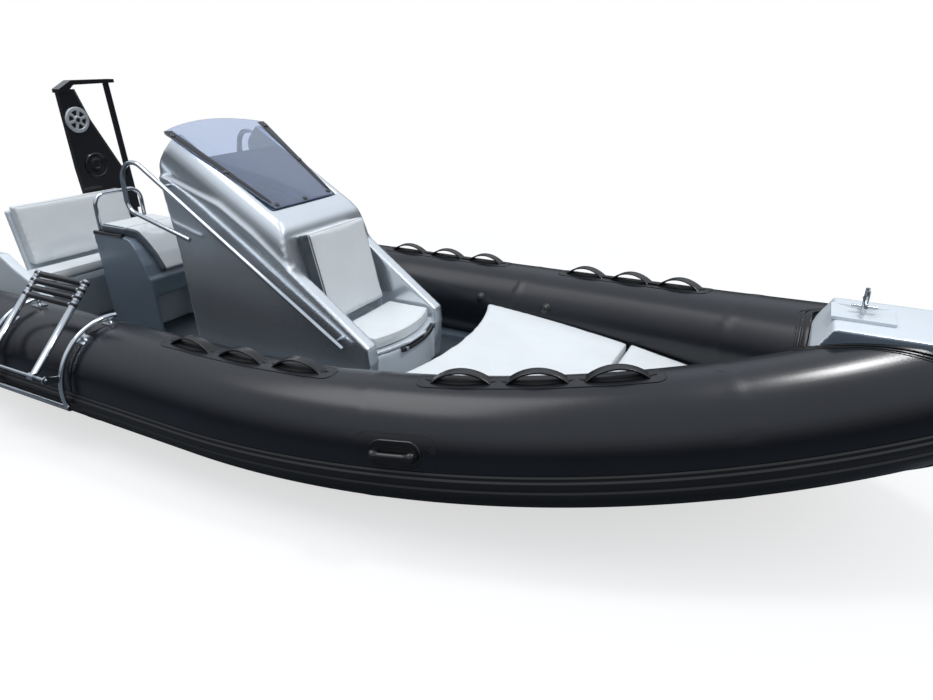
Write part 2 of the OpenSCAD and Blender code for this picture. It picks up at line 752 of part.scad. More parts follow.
module helm_hoop() {
    arm = hoop_h - hoop_bend;
    across = 2*(hoop_half - hoop_bend);
    color(steel) translate([hoop_x, -hoop_half, POD_TOP[0][1] + fit + bar_lap])
        rotate([90, 0, 90]) rotate([0, 0, 90])
            bent_bar(rail_r, [[arm, -90, hoop_bend], [across, -90, hoop_bend], [arm - bar_lap, 0, 0]]);
}

// Stern bench: base with sloping arms, seat cushion, raked back panel and backrest cushion
bench_half = bench_w/2;
bench_seat_z = 430;
bench_front_x = 415;
bench_aft_x = 105;
bench_toe = 60;
bench_pad_t = 70;
back_top_z = 880;
back_t = 40;
back_rake = 88;
// Top edge of an arm, from the back to its toe
ARM_EDGE = [[245, 640], [350, 575], [500, 505], [648, 380], [575, 315], [460, 270]];
arm_t = 60;
arm_aft_x = bench_aft_x + 20;
bench_skirt_z = 300;
module bench_base() {
    color("#b4bcc2") difference() {
        union() {
            along_y(-bench_half + arm_t/2, bench_half - arm_t/2) polygon([[bench_aft_x + 25, sole_z],
                [bench_front_x - bench_toe, sole_z], [bench_front_x - 5, bench_seat_z - back_t],
                [bench_front_x - 15, bench_seat_z], [bench_aft_x, bench_seat_z],
                [bench_aft_x, bench_skirt_z]]);
            both_sides() along_y(bench_half - arm_t, bench_half)
                polygon(concat([[arm_aft_x, sole_z + 2*arm_t], [arm_aft_x, ARM_EDGE[0][1]]], ARM_EDGE,
                    [[bench_front_x - bench_toe, sole_z + 2*arm_t]]));
        }
        tube_seats(fit);
    }
}
bench_pad_gap = 5;
bench_pad_aft_x = 205;
module bench_cushion() {
    half = bench_half - arm_t - bench_pad_gap;
    color(cushion) along_y(-half, half) translate([bench_pad_aft_x, bench_seat_z + fit])
        square([bench_front_x - bench_pad_aft_x, bench_pad_t]);
}
module bench_panel() {
    foot = bench_aft_x + bench_pad_gap;
    top = back_top_z - 20;
    color("#b4bcc2") along_y(-bench_back_w/2, bench_back_w/2) polygon([[foot, bench_seat_z + fit],
        [foot + back_t, bench_seat_z + fit], [foot + back_t - back_rake, top], [foot - back_rake, top]]);
}
back_pad_t = 75;
module bench_backrest() {
    low = bench_seat_z + bench_pad_t + bench_pad_gap;
    high = back_top_z + 20;
    lean = back_rake/(back_top_z - 20 - bench_seat_z);
    face = bench_aft_x + bench_pad_gap + back_t + fit - lean*(low - bench_seat_z);
    top = face - lean*(high - low);
    color(cushion) along_y(-bench_back_w/2 + bench_pad_gap, bench_back_w/2 - bench_pad_gap)
        polygon([[face, low], [face + back_pad_t, low], [top + back_pad_t, high], [top, high]]);
}

// Mast on the transom's aft face, to port: a broad leg whose fore face is chamfered along its port
// edge, a thin leg and a cap
mast_t = 40;
facet_w = 40;
mast_foot_z = 300;
mast_h = mast_top - mast_foot_z;
// Outline of the broad leg: distance to port of its edge, share of the mast's height,
// and 1 where the chamfer moves the fore face's point in
BLADE = [[180, 0, 0], [462, 0, 1], [462, 0.455, 1], [396, 0.54, 1], [222, 0.8, 1], [150, 0.955, 1],
    [0, 0.955, 0], [18, 0.56, 0], [40, 0.37, 0], [180, 0.2, 0]];
// The same for the cap and for the thin leg
CAP = [[-4, 0.94], [-4, 0.958], [95, 0.998], [428, 1], [428, 0.982], [110, 0.976], [60, 0.945]];
THIN_LEG = [[425, 0.3], [460, 0.3], [400, 0.99], [368, 0.99]];
function on_mast(p) = [mast_y + p[0], mast_foot_z + p[1]*mast_h];
module mast() {
    n = len(BLADE);
    aft = [for (p = BLADE) let (q = on_mast(p)) [-mast_t - fit, q[0], q[1]]];
    fore = [for (p = BLADE) let (q = on_mast(p)) [-fit, q[0] - facet_w*p[2], q[1]]];
    color("#17181a") {
        polyhedron(concat(aft, fore), concat([[for (i = [0:n - 1]) i]], [[for (i = [n - 1:-1:0]) n + i]],
            [for (i = [0:n - 1]) [(i + 1) % n, i, n + i, n + (i + 1) % n]]));
        along_x(-mast_t*1.4, mast_t/2) polygon([for (p = CAP) on_mast(p)]);
        along_x(-mast_t*0.9, -mast_t*0.2) polygon([for (p = THIN_LEG) on_mast(p)]);
    }
}
speaker_r = 85;
speaker_t = 12;
// Middles of the two speakers on the broad leg
SPEAKERS = [[91, 0.805], [165, 0.567]];
module speakers() {
    color("#c9ced2") for (p = SPEAKERS) let (q = on_mast(p))
        translate([0, q[0], q[1]]) rotate([0, 90, 0]) cylinder(r = speaker_r, h = speaker_t);
}

// Boarding ladder on the starboard quarter
frame_r = tube_r + strake_h + fit + rail_r + 8;
frame_low_a = -14;
frame_high_a = 100;
pivot_reach = 369;
pivot_a = 16;
axle_r = 8;
stile_lean = 45;
module about_tube(x) translate([x, tube_y, tube_z]) rotate([90, 0, 90]) children();
module ladder_frame() {
    color(steel) starboard() {
        for (side = [-1, 1]) about_tube(ladder_x + side*frame_w/2) {
            rotate([0, 0, frame_low_a]) rotate_extrude(angle = frame_high_a - frame_low_a, $fn = 180)
                translate([frame_r, 0]) circle(rail_r, $fn = 48);
            linear_extrude(8, center = true) rotate(pivot_a) {
                translate([frame_r, -16]) square([pivot_reach - frame_r, 32]);
                translate([pivot_reach, 0]) circle(20);
            }
            for (a = [60, 94]) {
                linear_extrude(60, center = true) ring_sector(tube_r + fit, tube_r + 6, a - 6, a + 6);
                rotate([0, 0, a]) translate([tube_r + 4, 0, 0]) rotate([0, 90, 0])
                    cylinder(r = 9, h = frame_r - tube_r - 4);
            }
        }
        about_tube(ladder_x) {
            rotate([0, 0, frame_low_a]) translate([frame_r, 0, 0])
                cylinder(r = rail_r + 1.5, h = frame_w + 2*rail_r + 6, center = true);
            rotate([0, 0, pivot_a]) translate([pivot_reach, 0, 0])
                cylinder(r = axle_r, h = frame_w + 24, center = true);
        }
    }
}
// Moves a piece drawn along +z, with x across the ladder, to the folded stiles
module on_ladder() {
    translate([ladder_x, tube_y + pivot_reach*cos(pivot_a), tube_z + pivot_reach*sin(pivot_a)])
        rotate([90 - stile_lean, 0, 0]) children();
}
wall = 2.4;
slide_gap = 0.5;
axle_gap = 0.08;
rung_r = 14;
rung_pitch = 40;
section_in = 330;
function section_r(i) = stile_r - i*(wall + slide_gap);
// One pair of telescopic tubes with its padded rung; 0 is the pair of stiles
collar_h = 34;
module ladder_section(i) {
    r = section_r(i);
    end = stile_len + i*rung_pitch;
    start = i == 0 ? 0 : end - section_in;
    for (side = [-1, 1]) translate([side*stile_w/2, 0, 0]) difference() {
        union() {
            translate([0, 0, start]) cylinder(r = r, h = end - start);
            if (i == 0) rotate([0, 90, 0]) cylinder(r = stile_r + 1.5, h = 40, center = true);
            if (i > 0) translate([0, 0, end - collar_h]) cylinder(r = stile_r, h = collar_h);
        }
        if (i < 3) translate([0, 0, start + 34]) cylinder(r = r - wall, h = end);
        if (i == 0) rotate([0, 90, 0]) cylinder(r = axle_r + axle_gap, h = 60, center = true);
    }
    translate([0, 0, end - collar_h/2]) rotate([0, 90, 0])
        cylinder(r = rung_r, h = stile_w - 2*stile_r + 4, center = true);
}
module ladder_stiles() color(steel) starboard() on_ladder() ladder_section(0);
module ladder_upper() color(steel) starboard() on_ladder() ladder_section(1);
module ladder_middle() color(steel) starboard() on_ladder() ladder_section(2);
module ladder_lower() color(steel) starboard() on_ladder() ladder_section(3);

// Towing eyes on the transom's aft face
eye_y = 480;
eye_z = 120;
eye_r = 30;
eye_bar_r = 6;
module lifting_eyes() {
    color(steel) both_sides() translate([0, eye_y, eye_z]) {
        translate([-eye_r, 0, 0]) rotate([90, 0, 0]) rotate([0, 0, 90])
            rotate_extrude(angle = 180) translate([eye_r, 0]) circle(eye_bar_r);
        for (side = [-1, 1]) translate([-eye_r, 0, side*eye_r]) rotate([0, 90, 0])
            cylinder(r = eye_bar_r, h = eye_r - fit);
    }
}

hull();
sole();
transom();
tube_starboard();
tube_port();
strake_starboard();
strake_port();
grabs_aft_starboard();
grabs_fore_starboard();
grabs_aft_port();
grabs_fore_port();
carry_handles();
valves();
bow_nose();
bow_post();
bow_locker();
bow_cushion_aft();
bow_cushion_fore();
console();
dash();
windscreen();
rail_starboard();
rail_port();
front_lid();
front_cushion();
front_backrest();
steering_wheel();
throttle();
helm_pod();
helm_cushion();
helm_hoop();
bench_base();
bench_cushion();
bench_panel();
bench_backrest();
mast();
speakers();
ladder_frame();
ladder_stiles();
ladder_upper();
ladder_middle();
ladder_lower();
lifting_eyes();
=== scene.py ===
"""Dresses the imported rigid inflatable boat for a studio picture.

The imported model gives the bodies, the joints and the solids. This script adds the air tubes, strakes,
grabs, cushions, screen and trims as surfaces worked out with numpy, gives every piece a procedural
finish, and sets the floor, the lights and the camera. Lengths are in metres: +X is the bow, +Y port,
+Z up, and z = 0 is the waterline.
"""

from __future__ import annotations

import logging
import math
from collections.abc import Callable
from dataclasses import dataclass, field
from enum import Enum
from typing import Any

import bmesh
import bpy
import numpy as np
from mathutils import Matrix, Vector
from mathutils.bvhtree import BVHTree

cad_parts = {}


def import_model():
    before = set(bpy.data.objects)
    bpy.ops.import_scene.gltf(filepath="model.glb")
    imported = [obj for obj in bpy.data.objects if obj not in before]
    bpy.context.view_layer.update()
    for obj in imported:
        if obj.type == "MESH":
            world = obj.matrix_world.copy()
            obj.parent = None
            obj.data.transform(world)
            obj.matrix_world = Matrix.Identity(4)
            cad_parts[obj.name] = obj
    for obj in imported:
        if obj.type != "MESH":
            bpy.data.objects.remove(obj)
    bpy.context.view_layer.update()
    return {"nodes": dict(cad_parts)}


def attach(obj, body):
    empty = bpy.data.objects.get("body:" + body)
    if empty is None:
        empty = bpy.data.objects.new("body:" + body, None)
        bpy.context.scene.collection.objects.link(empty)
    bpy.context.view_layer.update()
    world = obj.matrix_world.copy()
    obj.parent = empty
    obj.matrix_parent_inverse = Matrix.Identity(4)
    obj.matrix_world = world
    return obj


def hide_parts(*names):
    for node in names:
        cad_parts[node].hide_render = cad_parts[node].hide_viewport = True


FRAME: dict[str, Any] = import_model()
NODES: dict[str, bpy.types.Object] = FRAME["nodes"]

LOG = logging.getLogger("boat")
Array = np.ndarray
Point = tuple[float, float, float]
Profile = tuple[tuple[float, float], ...]

# The body that carries everything fixed.
BOAT = "boat"
# Gap between pieces that fit together.
FIT = 0.0003
# Distance within which points of a mesh are one.
WELD = 1e-5


class Side(Enum):
    """The two sides of the boat, as the sign of y."""

    PORT = 1.0
    STARBOARD = -1.0

    @property
    def word(self) -> str:
        """Name of the side as the CAD nodes write it."""
        return self.name.lower()


# ---------------------------------------------------------------- finishes


def linear(colour: str) -> tuple[float, float, float, float]:
    """Turns an sRGB hex colour into linear RGBA.

    Args:
        colour: Six hex digits after a hash.

    Returns:
        Linear red, green and blue, with alpha 1.
    """
    share = np.array([int(colour[i : i + 2], 16) for i in (1, 3, 5)]) / 255.0
    value = np.where(share <= 0.04045, share / 12.92, ((share + 0.055) / 1.055) ** 2.4)
    return (float(value[0]), float(value[1]), float(value[2]), 1.0)


def add(
    tree: bpy.types.NodeTree, kind: str, inputs: dict[Any, Any] | None = None, **settings: Any
) -> bpy.types.Node:
    """Adds a node with its settings, values and links.

    Args:
        tree: Node tree that takes the node.
        kind: Node type without its ShaderNode prefix.
        inputs: Socket name or index to a value, or to an output socket that is linked in.
        **settings: Properties of the node.

    Returns:
        The new node.
    """
    made = tree.nodes.new("ShaderNode" + kind)
    for key, value in settings.items():
        setattr(made, key, value)
    for key, value in (inputs or {}).items():
        if isinstance(value, bpy.types.NodeSocket):
            tree.links.new(value, made.inputs[key])
        else:
            made.inputs[key].default_value = value
    return made


@dataclass(frozen=True)
class Finish:
    """A surface whose colour drifts in soft patches and whose skin has a fine bump.

    The colour runs between two tones on a noise of the given patch size. The bump is a second noise of
    the given grain size. Sizes are in millimetres.
    """

    name: str
    tone: str
    tone_b: str
    roughness: float
    patch_mm: float = 220.0
    grain_mm: float = 6.0
    bump_mm: float = 0.05
    metallic: float = 0.0
    ior: float = 1.5
    coat: float = 0.0
    coat_roughness: float = 0.08
    gloss_drift: float = 0.06
    tone_span: tuple[float, float] = (0.35, 0.65)

    def material(self) -> bpy.types.Material:
        """Makes the material, or gives the one already made.

        Returns:
            The material.
        """
        known = bpy.data.materials.get(self.name)
        if known:
            return known
        made = bpy.data.materials.new(self.name)
        made.use_nodes = True
        tree = made.node_tree
        tree.nodes.clear()
        where = add(tree, "TexCoord").outputs["Object"]
        shader = add(tree, "BsdfPrincipled", self.shader_values())
        drift = add(tree, "TexNoise", {"Vector": where, "Scale": 1000.0 / self.patch_mm, "Detail": 3.0})
        self.dress(tree, shader, where, drift.outputs["Fac"])
        add(tree, "OutputMaterial", {"Surface": shader.outputs["BSDF"]})
        made.diffuse_color = linear(self.tone)
        return made

    def shader_values(self) -> dict[str, Any]:
        """Values that are the same all over the surface.

        Returns:
            Socket names and values of the principled shader.
        """
        values: dict[str, Any] = {
            "Metallic": self.metallic,
            "Coat Weight": self.coat,
            "Coat Roughness": self.coat_roughness,
        }
        if self.metallic < 1.0:
            values["IOR"] = self.ior
        return values

    def dress(self, tree: bpy.types.NodeTree, shader: bpy.types.Node, where: Any, drift: Any) -> None:
        """Links colour, roughness and bump into the shader.

        Args:
            tree: Node tree of the material.
            shader: Its principled shader.
            where: Output socket with the place on the surface.
            drift: Output socket of the slow noise.
        """
        tones = add(tree, "ValToRGB", {"Fac": drift})
        stops = zip(tones.color_ramp.elements, self.tone_span, (self.tone, self.tone_b))
        for stop, position, tone in stops:
            stop.position = position
            stop.color = linear(tone)
        tree.links.new(tones.outputs["Color"], shader.inputs["Base Color"])
        low = self.roughness - self.gloss_drift / 2
        rough = add(tree, "MapRange", {"Value": drift, "To Min": low, "To Max": low + self.gloss_drift})
        tree.links.new(rough.outputs["Result"], shader.inputs["Roughness"])
        if self.bump_mm > 0:
            relief = {"Height": self.height(tree, where), "Strength": 1.0, "Distance": self.bump_mm / 1000.0}
            bump = add(tree, "Bump", relief)
            tree.links.new(bump.outputs["Normal"], shader.inputs["Normal"])

    def height(self, tree: bpy.types.NodeTree, where: Any) -> Any:
        """Gives the socket with the skin's height, a noise of the grain's size."""
        grain = add(tree, "TexNoise", {"Vector": where, "Scale": 1000.0 / self.grain_mm, "Detail": 2.0})
        return grain.outputs["Fac"]


@dataclass(frozen=True)
class WovenFinish(Finish):
    """Coated cloth: two crossing waves of the thread spacing show through the coating, on the UV map.

    The real thread is too fine to show, so the spacing is drawn coarser.
    """

    thread_mm: float = 5.0

    def height(self, tree: bpy.types.NodeTree, where: Any) -> Any:
        """Gives the weave's height: the product of a lengthwise and a crosswise wave.

        Args:
            tree: Node tree of the material.
            where: Output socket with the place on the surface.

        Returns:
            Output socket of the height.
        """
        uv = add(tree, "UVMap").outputs["UV"]
        scale = 1000.0 / self.thread_mm / (2 * math.pi) * 0.5
        waves = [
            add(tree, "TexWave", {"Vector": uv, "Scale": scale, "Distortion": 0.0}, bands_direction=axis)
            for axis in ("X", "Y")
        ]
        factors = {0: waves[0].outputs["Fac"], 1: waves[1].outputs["Fac"]}
        return add(tree, "Math", factors, operation="MULTIPLY").outputs[0]


@dataclass(frozen=True)
class GrainedFinish(Finish):
    """Embossed vinyl: cells of the grain size with sunk borders."""

    def height(self, tree: bpy.types.NodeTree, where: Any) -> Any:
        """Gives the emboss's height: the distance from the cell's border.

        Args:
            tree: Node tree of the material.
            where: Output socket with the place on the surface.

        Returns:
            Output socket of the height.
        """
        spread = {"Vector": where, "Scale": 1000.0 / self.grain_mm}
        cells = add(tree, "TexVoronoi", spread, feature="DISTANCE_TO_EDGE")
        lift = add(tree, "MapRange", {"Value": cells.outputs["Distance"], "From Max": 0.25})
        return lift.outputs["Result"]


@dataclass(frozen=True)
class ShadeSidedVinyl(GrainedFinish):
    """Embossed vinyl with painted shade on its sides: a dark tone where the side attribute is over a half."""

    # Painted shade: the dark tone on the cushions' sides.
    side_shade_tone: str = "#4d545b"

    def dress(self, tree: bpy.types.NodeTree, shader: bpy.types.Node, where: Any, drift: Any) -> None:
        """Puts the painted shade of the sides between the common colour and the shader.

        Args:
            tree: Node tree of the material.
            shader: Its principled shader.
            where: Output socket with the place on the surface.
            drift: Output socket of the slow noise.
        """
        super().dress(tree, shader, where, drift)
        face = shader.inputs["Base Color"].links[0].from_socket
        shaded_side = add(tree, "Attribute", attribute_name="shaded_side").outputs["Fac"]
        share = add(tree, "MapRange", {"Value": shaded_side, "From Min": 0.45, "From Max": 0.55}).outputs["Result"]
        both = add(tree, "Mix", {0: share, 6: face, 7: linear(self.side_shade_tone)}, data_type="RGBA")
        tree.links.new(both.outputs[2], shader.inputs["Base Color"])


@dataclass(frozen=True)
class TreadFinish(Finish):
    """Moulded non-skid deck: rows of small round pips on Object coordinates."""

    def height(self, tree: bpy.types.NodeTree, where: Any) -> Any:
        """Gives the pips' height: a dome round each point of a regular grid.

        Args:
            tree: Node tree of the material.
            where: Output socket with the place on the surface.

        Returns:
            Output socket of the height.
        """
        pips = add(tree, "TexVoronoi", {"Vector": where, "Scale": 1000.0 / self.grain_mm, "Randomness": 0.0})
        fall = {"From Min": 0.2, "From Max": 0.45, "To Min": 1.0, "To Max": 0.0}
        dome = add(tree, "MapRange", {"Value": pips.outputs["Distance"]} | fall)
        return dome.outputs["Result"]


@dataclass(frozen=True)
class ClearFinish(Finish):
    """Smoked acrylic sheet: tinted, see-through and polished. What isn't let through shows its bluish colour as painted
    reflection of the sky.
    """

    # Share of light let through; the rest is the bluish base colour as painted reflection.
    transmission: float = 0.86

    def shader_values(self) -> dict[str, Any]:
        """Adds the transmission to the common values."""
        return super().shader_values() | {"Transmission Weight": self.transmission}


@dataclass(frozen=True)
class Gelcoat(Finish):
    """Sprayed gelcoat: a slow drift of colour and a faint orange peel under a glossy skin."""

    patch_mm: float = 500.0
    grain_mm: float = 9.0
    bump_mm: float = 0.015


# Coated polyester tube cloth, calendered: satin, with the weave just showing.
TUBE_CLOTH = WovenFinish("coated_tube_cloth", "#0d1016", "#11141b", 0.25, patch_mm=420)
# Extruded rubber of the strakes: near black, dull, with a faint bloom.
STRAKE_RUBBER = Finish("extruded_rubber", "#0c0d0f", "#111214", 0.38, patch_mm=160, grain_mm=3, bump_mm=0.04)
# Moulded soft PVC of the grabs: glossier black.
MOULDED_PVC = Finish("moulded_pvc", "#0d0e10", "#131416", 0.24, patch_mm=90, grain_mm=2.5, bump_mm=0.03)
# Moulded pad rubber in the hollow below each grab: darker and duller than the grabs, painted shade so that the hollow
# looks deep.
SHADED_PAD_RUBBER = Finish("pad_rubber_painted_shade", "#08090a", "#0d0e0f", 0.7, patch_mm=60, grain_mm=2, bump_mm=0.04)
# Glued cloth patch: the tube cloth's colour, a shade paler, so that its edge shows.
PATCH_CLOTH = Finish("glued_patch_cloth", "#101217", "#15171c", 0.36, patch_mm=120, grain_mm=4, bump_mm=0.03)
# Sprayed metallic gelcoat of the console: fine flake under a clear skin gives broad, soft highlights.
METALLIC_GELCOAT = Gelcoat("metallic_gelcoat", "#dbe1e6", "#e1e7ec", 0.25, metallic=0.85, coat=0.4)
# Pale gelcoat of the inner mouldings: a trace of flake, glossy.
PALE_GELCOAT = Gelcoat("pale_gelcoat", "#c4ccd2", "#ccd3d9", 0.3, metallic=0.1, coat=0.4)
# White gelcoat of the bench and the bow's nose: plain colour under a gloss.
WHITE_GELCOAT = Gelcoat("white_gelcoat", "#ccd4da", "#d2dae0", 0.3, coat=0.4)
# Grey gelcoat of the bench's front: plain colour, a little duller.
GREY_GELCOAT = Gelcoat("grey_gelcoat", "#8e979e", "#959ea5", 0.34, coat=0.3)
# Dark gelcoat of pod and hull: slate, with some flake. On the nose's flanks it is painted shade on the white moulding.
DARK_GELCOAT_AND_SHADE = Gelcoat("dark_gelcoat_and_shade", "#6b7884", "#727f8b", 0.36, metallic=0.3, coat=0.3)
# Moulded non-skid sole: matt, with rows of pips drawn coarse enough to show.
DECK_TREAD = TreadFinish("moulded_nonskid", "#2f393f", "#353f45", 0.6, patch_mm=300, grain_mm=14, bump_mm=0.5)
# Marine vinyl, embossed with a leather grain: pale faces, with painted shade as a dark tone on the sides of the pads
# that mark them.
PALE_VINYL = ShadeSidedVinyl("embossed_vinyl_pale", "#d0d4d6", "#d6dadc", 0.5, patch_mm=260, grain_mm=3.5)
# The same vinyl drawn over a cord as a welt: a shade darker from handling.
WELT_VINYL = GrainedFinish("embossed_vinyl_welt", "#b4b9bc", "#bcc1c4", 0.5, patch_mm=90, grain_mm=2.5, bump_mm=0.03)
# Polished stainless steel: bright and sharp, with faint polishing marks.
STAINLESS = Finish(
    "polished_stainless",
    "#c3c8ce",
    "#cbd0d5",
    0.13,
    patch_mm=120,
    grain_mm=4,
    bump_mm=0.008,
    metallic=1.0,
    gloss_drift=0.05,
)
# Injection-moulded ABS: gloss black.
BLACK_ABS = Finish("gloss_black_abs", "#0e0e10", "#131315", 0.24, patch_mm=200, grain_mm=5, bump_mm=0.015, coat=0.3)
# Vinyl-wrapped dash: slate blue, with a fine leather grain.
DASH_VINYL = GrainedFinish("dash_vinyl", "#46586e", "#4c5e74", 0.5, patch_mm=200, grain_mm=3)
# Lacquered aluminium of the mast: gloss black under a clear coat.
MAST_LACQUER = Finish("black_mast_lacquer", "#0f0f11", "#151517", 0.2, patch_mm=240, grain_mm=8, bump_mm=0.01, coat=0.5)
# Metallised plastic of the speaker trim: satin silver.
SILVER_TRIM = Finish(
    "satin_silver_trim", "#b9bdc2", "#c2c6ca", 0.34, patch_mm=100, grain_mm=2, bump_mm=0.015, metallic=0.5
)
# Smoked acrylic of the windscreen: cast sheet, clear and polished, with a blue tint; the share it doesn't let through
# is painted reflection in that bluish colour.
SMOKED_ACRYLIC = ClearFinish("smoked_acrylic", "#b9c6df", "#bcc9e1", 0.02, patch_mm=600, bump_mm=0.0, gloss_drift=0.01)
# Screen-printed border of the windscreen: smooth black ink.
BORDER_PRINT = Finish("black_border_print", "#0a0d12", "#0e1116", 0.3, patch_mm=200, grain_mm=30, bump_mm=0.005)


# ---------------------------------------------------------------- mesh tools


def smoothed(obj: bpy.types.Object, angle: float) -> None:
    """Shades a mesh smooth, with edges above an angle in degrees left sharp."""
    obj.data.polygons.foreach_set("use_smooth", np.ones(len(obj.data.polygons), dtype=bool))
    obj.data.set_sharp_from_angle(angle=math.radians(angle))


@dataclass
class Shell:
    """Collects grids of points and closes them into one mesh piece."""

    name: str
    points: list[Array] = field(default_factory=list)
    quads: list[Array] = field(default_factory=list)
    loops: list[list[int]] = field(default_factory=list)
    uvs: list[Array] = field(default_factory=list)
    count: int = 0

    def grid(self, surface: Array, caps: bool = True, uv: Array | None = None) -> "Shell":
        """Adds a grid of points as quads, with the last column joined to the first.

        Args:
            surface: Points, shape (rows, columns, 3).
            caps: Whether the first and last row are closed by a face.
            uv: Coordinates per point, shape (rows, columns, 2).

        Returns:
            This shell.
        """
        rows, cols = surface.shape[:2]
        index = self.count + np.arange(rows * cols).reshape(rows, cols)
        after = np.roll(index, -1, axis=1)
        self.quads.append(np.stack([index[:-1], after[:-1], after[1:], index[1:]], axis=-1).reshape(-1, 4))
        if caps:
            self.loops += [index[0, ::-1].tolist(), index[-1].tolist()]
        self.points.append(surface.reshape(-1, 3))
        self.uvs.append((np.zeros((rows, cols, 2)) if uv is None else uv).reshape(-1, 2))
        self.count += rows * cols
        return self

    def build(self, finish: Finish, angle: float = 35.0) -> bpy.types.Object:
        """Makes the object, with doubles merged and faces turned outwards.

        Args:
            finish: Finish of the piece.
            angle: Edges sharper than this many degrees stay sharp.

        Returns:
            The new object, linked to the scene.
        """
        mesh = bpy.data.meshes.new(self.name)
        quads = np.concatenate(self.quads)
        mesh.from_pydata(np.concatenate(self.points).tolist(), [], quads.tolist() + self.loops)
        layer = mesh.uv_layers.new(name="UVMap")
        corner = np.empty(len(mesh.loops), dtype=np.int32)
        mesh.loops.foreach_get("vertex_index", corner)
        layer.data.foreach_set("uv", np.concatenate(self.uvs)[corner].ravel().astype(np.float32))
        tidy_mesh(mesh)
        obj = bpy.data.objects.new(self.name, mesh)
        bpy.context.scene.collection.objects.link(obj)
        mesh.materials.append(finish.material())
        smoothed(obj, angle)
        return obj


def tidy_mesh(mesh: bpy.types.Mesh) -> None:
    """Merges doubles and turns the faces outwards.

    Args:
        mesh: Mesh that is changed.
    """
    work = bmesh.new()
    work.from_mesh(mesh)
    bmesh.ops.remove_doubles(work, verts=work.verts, dist=WELD)
    bmesh.ops.recalc_face_normals(work, faces=work.faces)
    work.to_mesh(mesh)
    work.free()


def rounded(corners: Any, radius: float, steps: int) -> Array:
    """Rounds the corners of a closed polygon by arcs.

    Each corner is replaced by points on the circle that touches both its edges.

    Args:
        corners: Points, shape (n, 2).
        radius: Radius of the arcs, made smaller where an edge is too short for it.
        steps: Points on each arc.

    Returns:
        The outline, shape (n * steps, 2).
    """
    here = np.asarray(corners, dtype=float)
    to_prev = np.roll(here, 1, axis=0) - here
    to_next = np.roll(here, -1, axis=0) - here
    long_prev = np.linalg.norm(to_prev, axis=1)
    long_next = np.linalg.norm(to_next, axis=1)
    a = to_prev / long_prev[:, None]
    b = to_next / long_next[:, None]
    half = np.arccos(np.clip((a * b).sum(1), -0.9999, 0.9999)) / 2
    reach = np.minimum(radius / np.tan(half), 0.48 * np.minimum(long_prev, long_next))
    size = reach * np.tan(half)
    middle = here + (a + b) / np.linalg.norm(a + b, axis=1)[:, None] * (size / np.sin(half))[:, None]
    first = here + a * reach[:, None] - middle
    last = here + b * reach[:, None] - middle
    turn = np.pi - 2 * half
    t = np.linspace(0, 1, steps)[None, :, None]
    phi = turn[:, None, None]
    arc = (np.sin((1 - t) * phi) * first[:, None] + np.sin(t * phi) * last[:, None]) / np.sin(phi)
    return (middle[:, None] + arc).reshape(-1, 2)


def resampled(points: Array, count: int, closed: bool = True) -> Array:
    """Spaces points evenly along a polyline.

    Args:
        points: Points, shape (n, d).
        count: Number of points wanted.
        closed: Whether the line returns to its first point.

    Returns:
        Points, shape (count, d).
    """
    line = np.vstack([points, points[:1]]) if closed else points
    run = np.concatenate([[0.0], np.cumsum(np.linalg.norm(np.diff(line, axis=0), axis=1))])
    at = np.linspace(0, run[-1], count, endpoint=not closed)
    return np.stack([np.interp(at, run, line[:, i]) for i in range(line.shape[1])], axis=1)


def outward(outline: Array) -> Array:
    """Gives the unit normals of a closed outline, pointing out of it.

    Args:
        outline: Closed outline, shape (n, 2).

    Returns:
        Unit normals, shape (n, 2).
    """
    along = np.roll(outline, -1, axis=0) - np.roll(outline, 1, axis=0)
    normal = np.stack([along[:, 1], -along[:, 0]], axis=1)
    normal /= np.linalg.norm(normal, axis=1)[:, None] + 1e-12
    after = np.roll(outline, -1, axis=0)
    area = (outline[:, 0] * after[:, 1] - outline[:, 1] * after[:, 0]).sum()
    return normal if area > 0 else -normal


def slab(outline: Array, low: float, high: float, edge: float, steps: int = 4) -> Array:
    """Carries an outline from one height to another, with both edges rounded.

    Ring by ring the outline moves in along its normals by the edge's quarter circle.

    Args:
        outline: Closed outline, shape (n, 2).
        low: Height of the lower face.
        high: Height of the upper face.
        edge: Radius of the rounded edges.
        steps: Rings in each rounding.

    Returns:
        Points (first, second, height), shape (2 * steps, n, 3).
    """
    turn = np.linspace(0, np.pi / 2, steps)
    inset = np.concatenate([edge * (1 - np.sin(turn)), edge * (1 - np.cos(turn))])
    height = np.concatenate([low + edge * (1 - np.cos(turn)), high - edge * (1 - np.sin(turn))])
    flat = outline[None] - inset[:, None, None] * outward(outline)[None]
    return np.concatenate([flat, np.broadcast_to(height[:, None, None], flat.shape[:2] + (1,))], axis=2)


def sweep(path: Array, section: Array, up: Any = (0.0, 0.0, 1.0), closed: bool = False) -> Array:
    """Carries a section along a path.

    At each point the section's first axis is level, square to the path and to up, and its second axis
    completes the frame.

    Args:
        path: Points, shape (n, 3).
        section: Section, shape (m, 2).
        up: Direction that the frames keep to.
        closed: Whether the path returns to its first point.

    Returns:
        Points, shape (n, m, 3).
    """
    if closed:
        along = np.roll(path, -1, axis=0) - np.roll(path, 1, axis=0)
    else:
        along = np.gradient(path, axis=0)
    along = along / np.linalg.norm(along, axis=1)[:, None]
    level = np.cross(along, np.broadcast_to(np.asarray(up, dtype=float), along.shape))
    level = level / np.linalg.norm(level, axis=1)[:, None]
    high = np.cross(level, along)
    made = path[:, None] + section[None, :, :1] * level[:, None] + section[None, :, 1:] * high[:, None]
    return np.concatenate([made, made[:1]]) if closed else made


def oblong(half_long: float, half_wide: float, radius: float, steps: int) -> Array:
    """Gives a rectangle about the origin with rounded corners, shape (4 * steps, 2)."""
    corners = np.array([[-1, -1], [1, -1], [1, 1], [-1, 1]]) * [half_long, half_wide]
    return rounded(corners, radius, steps)


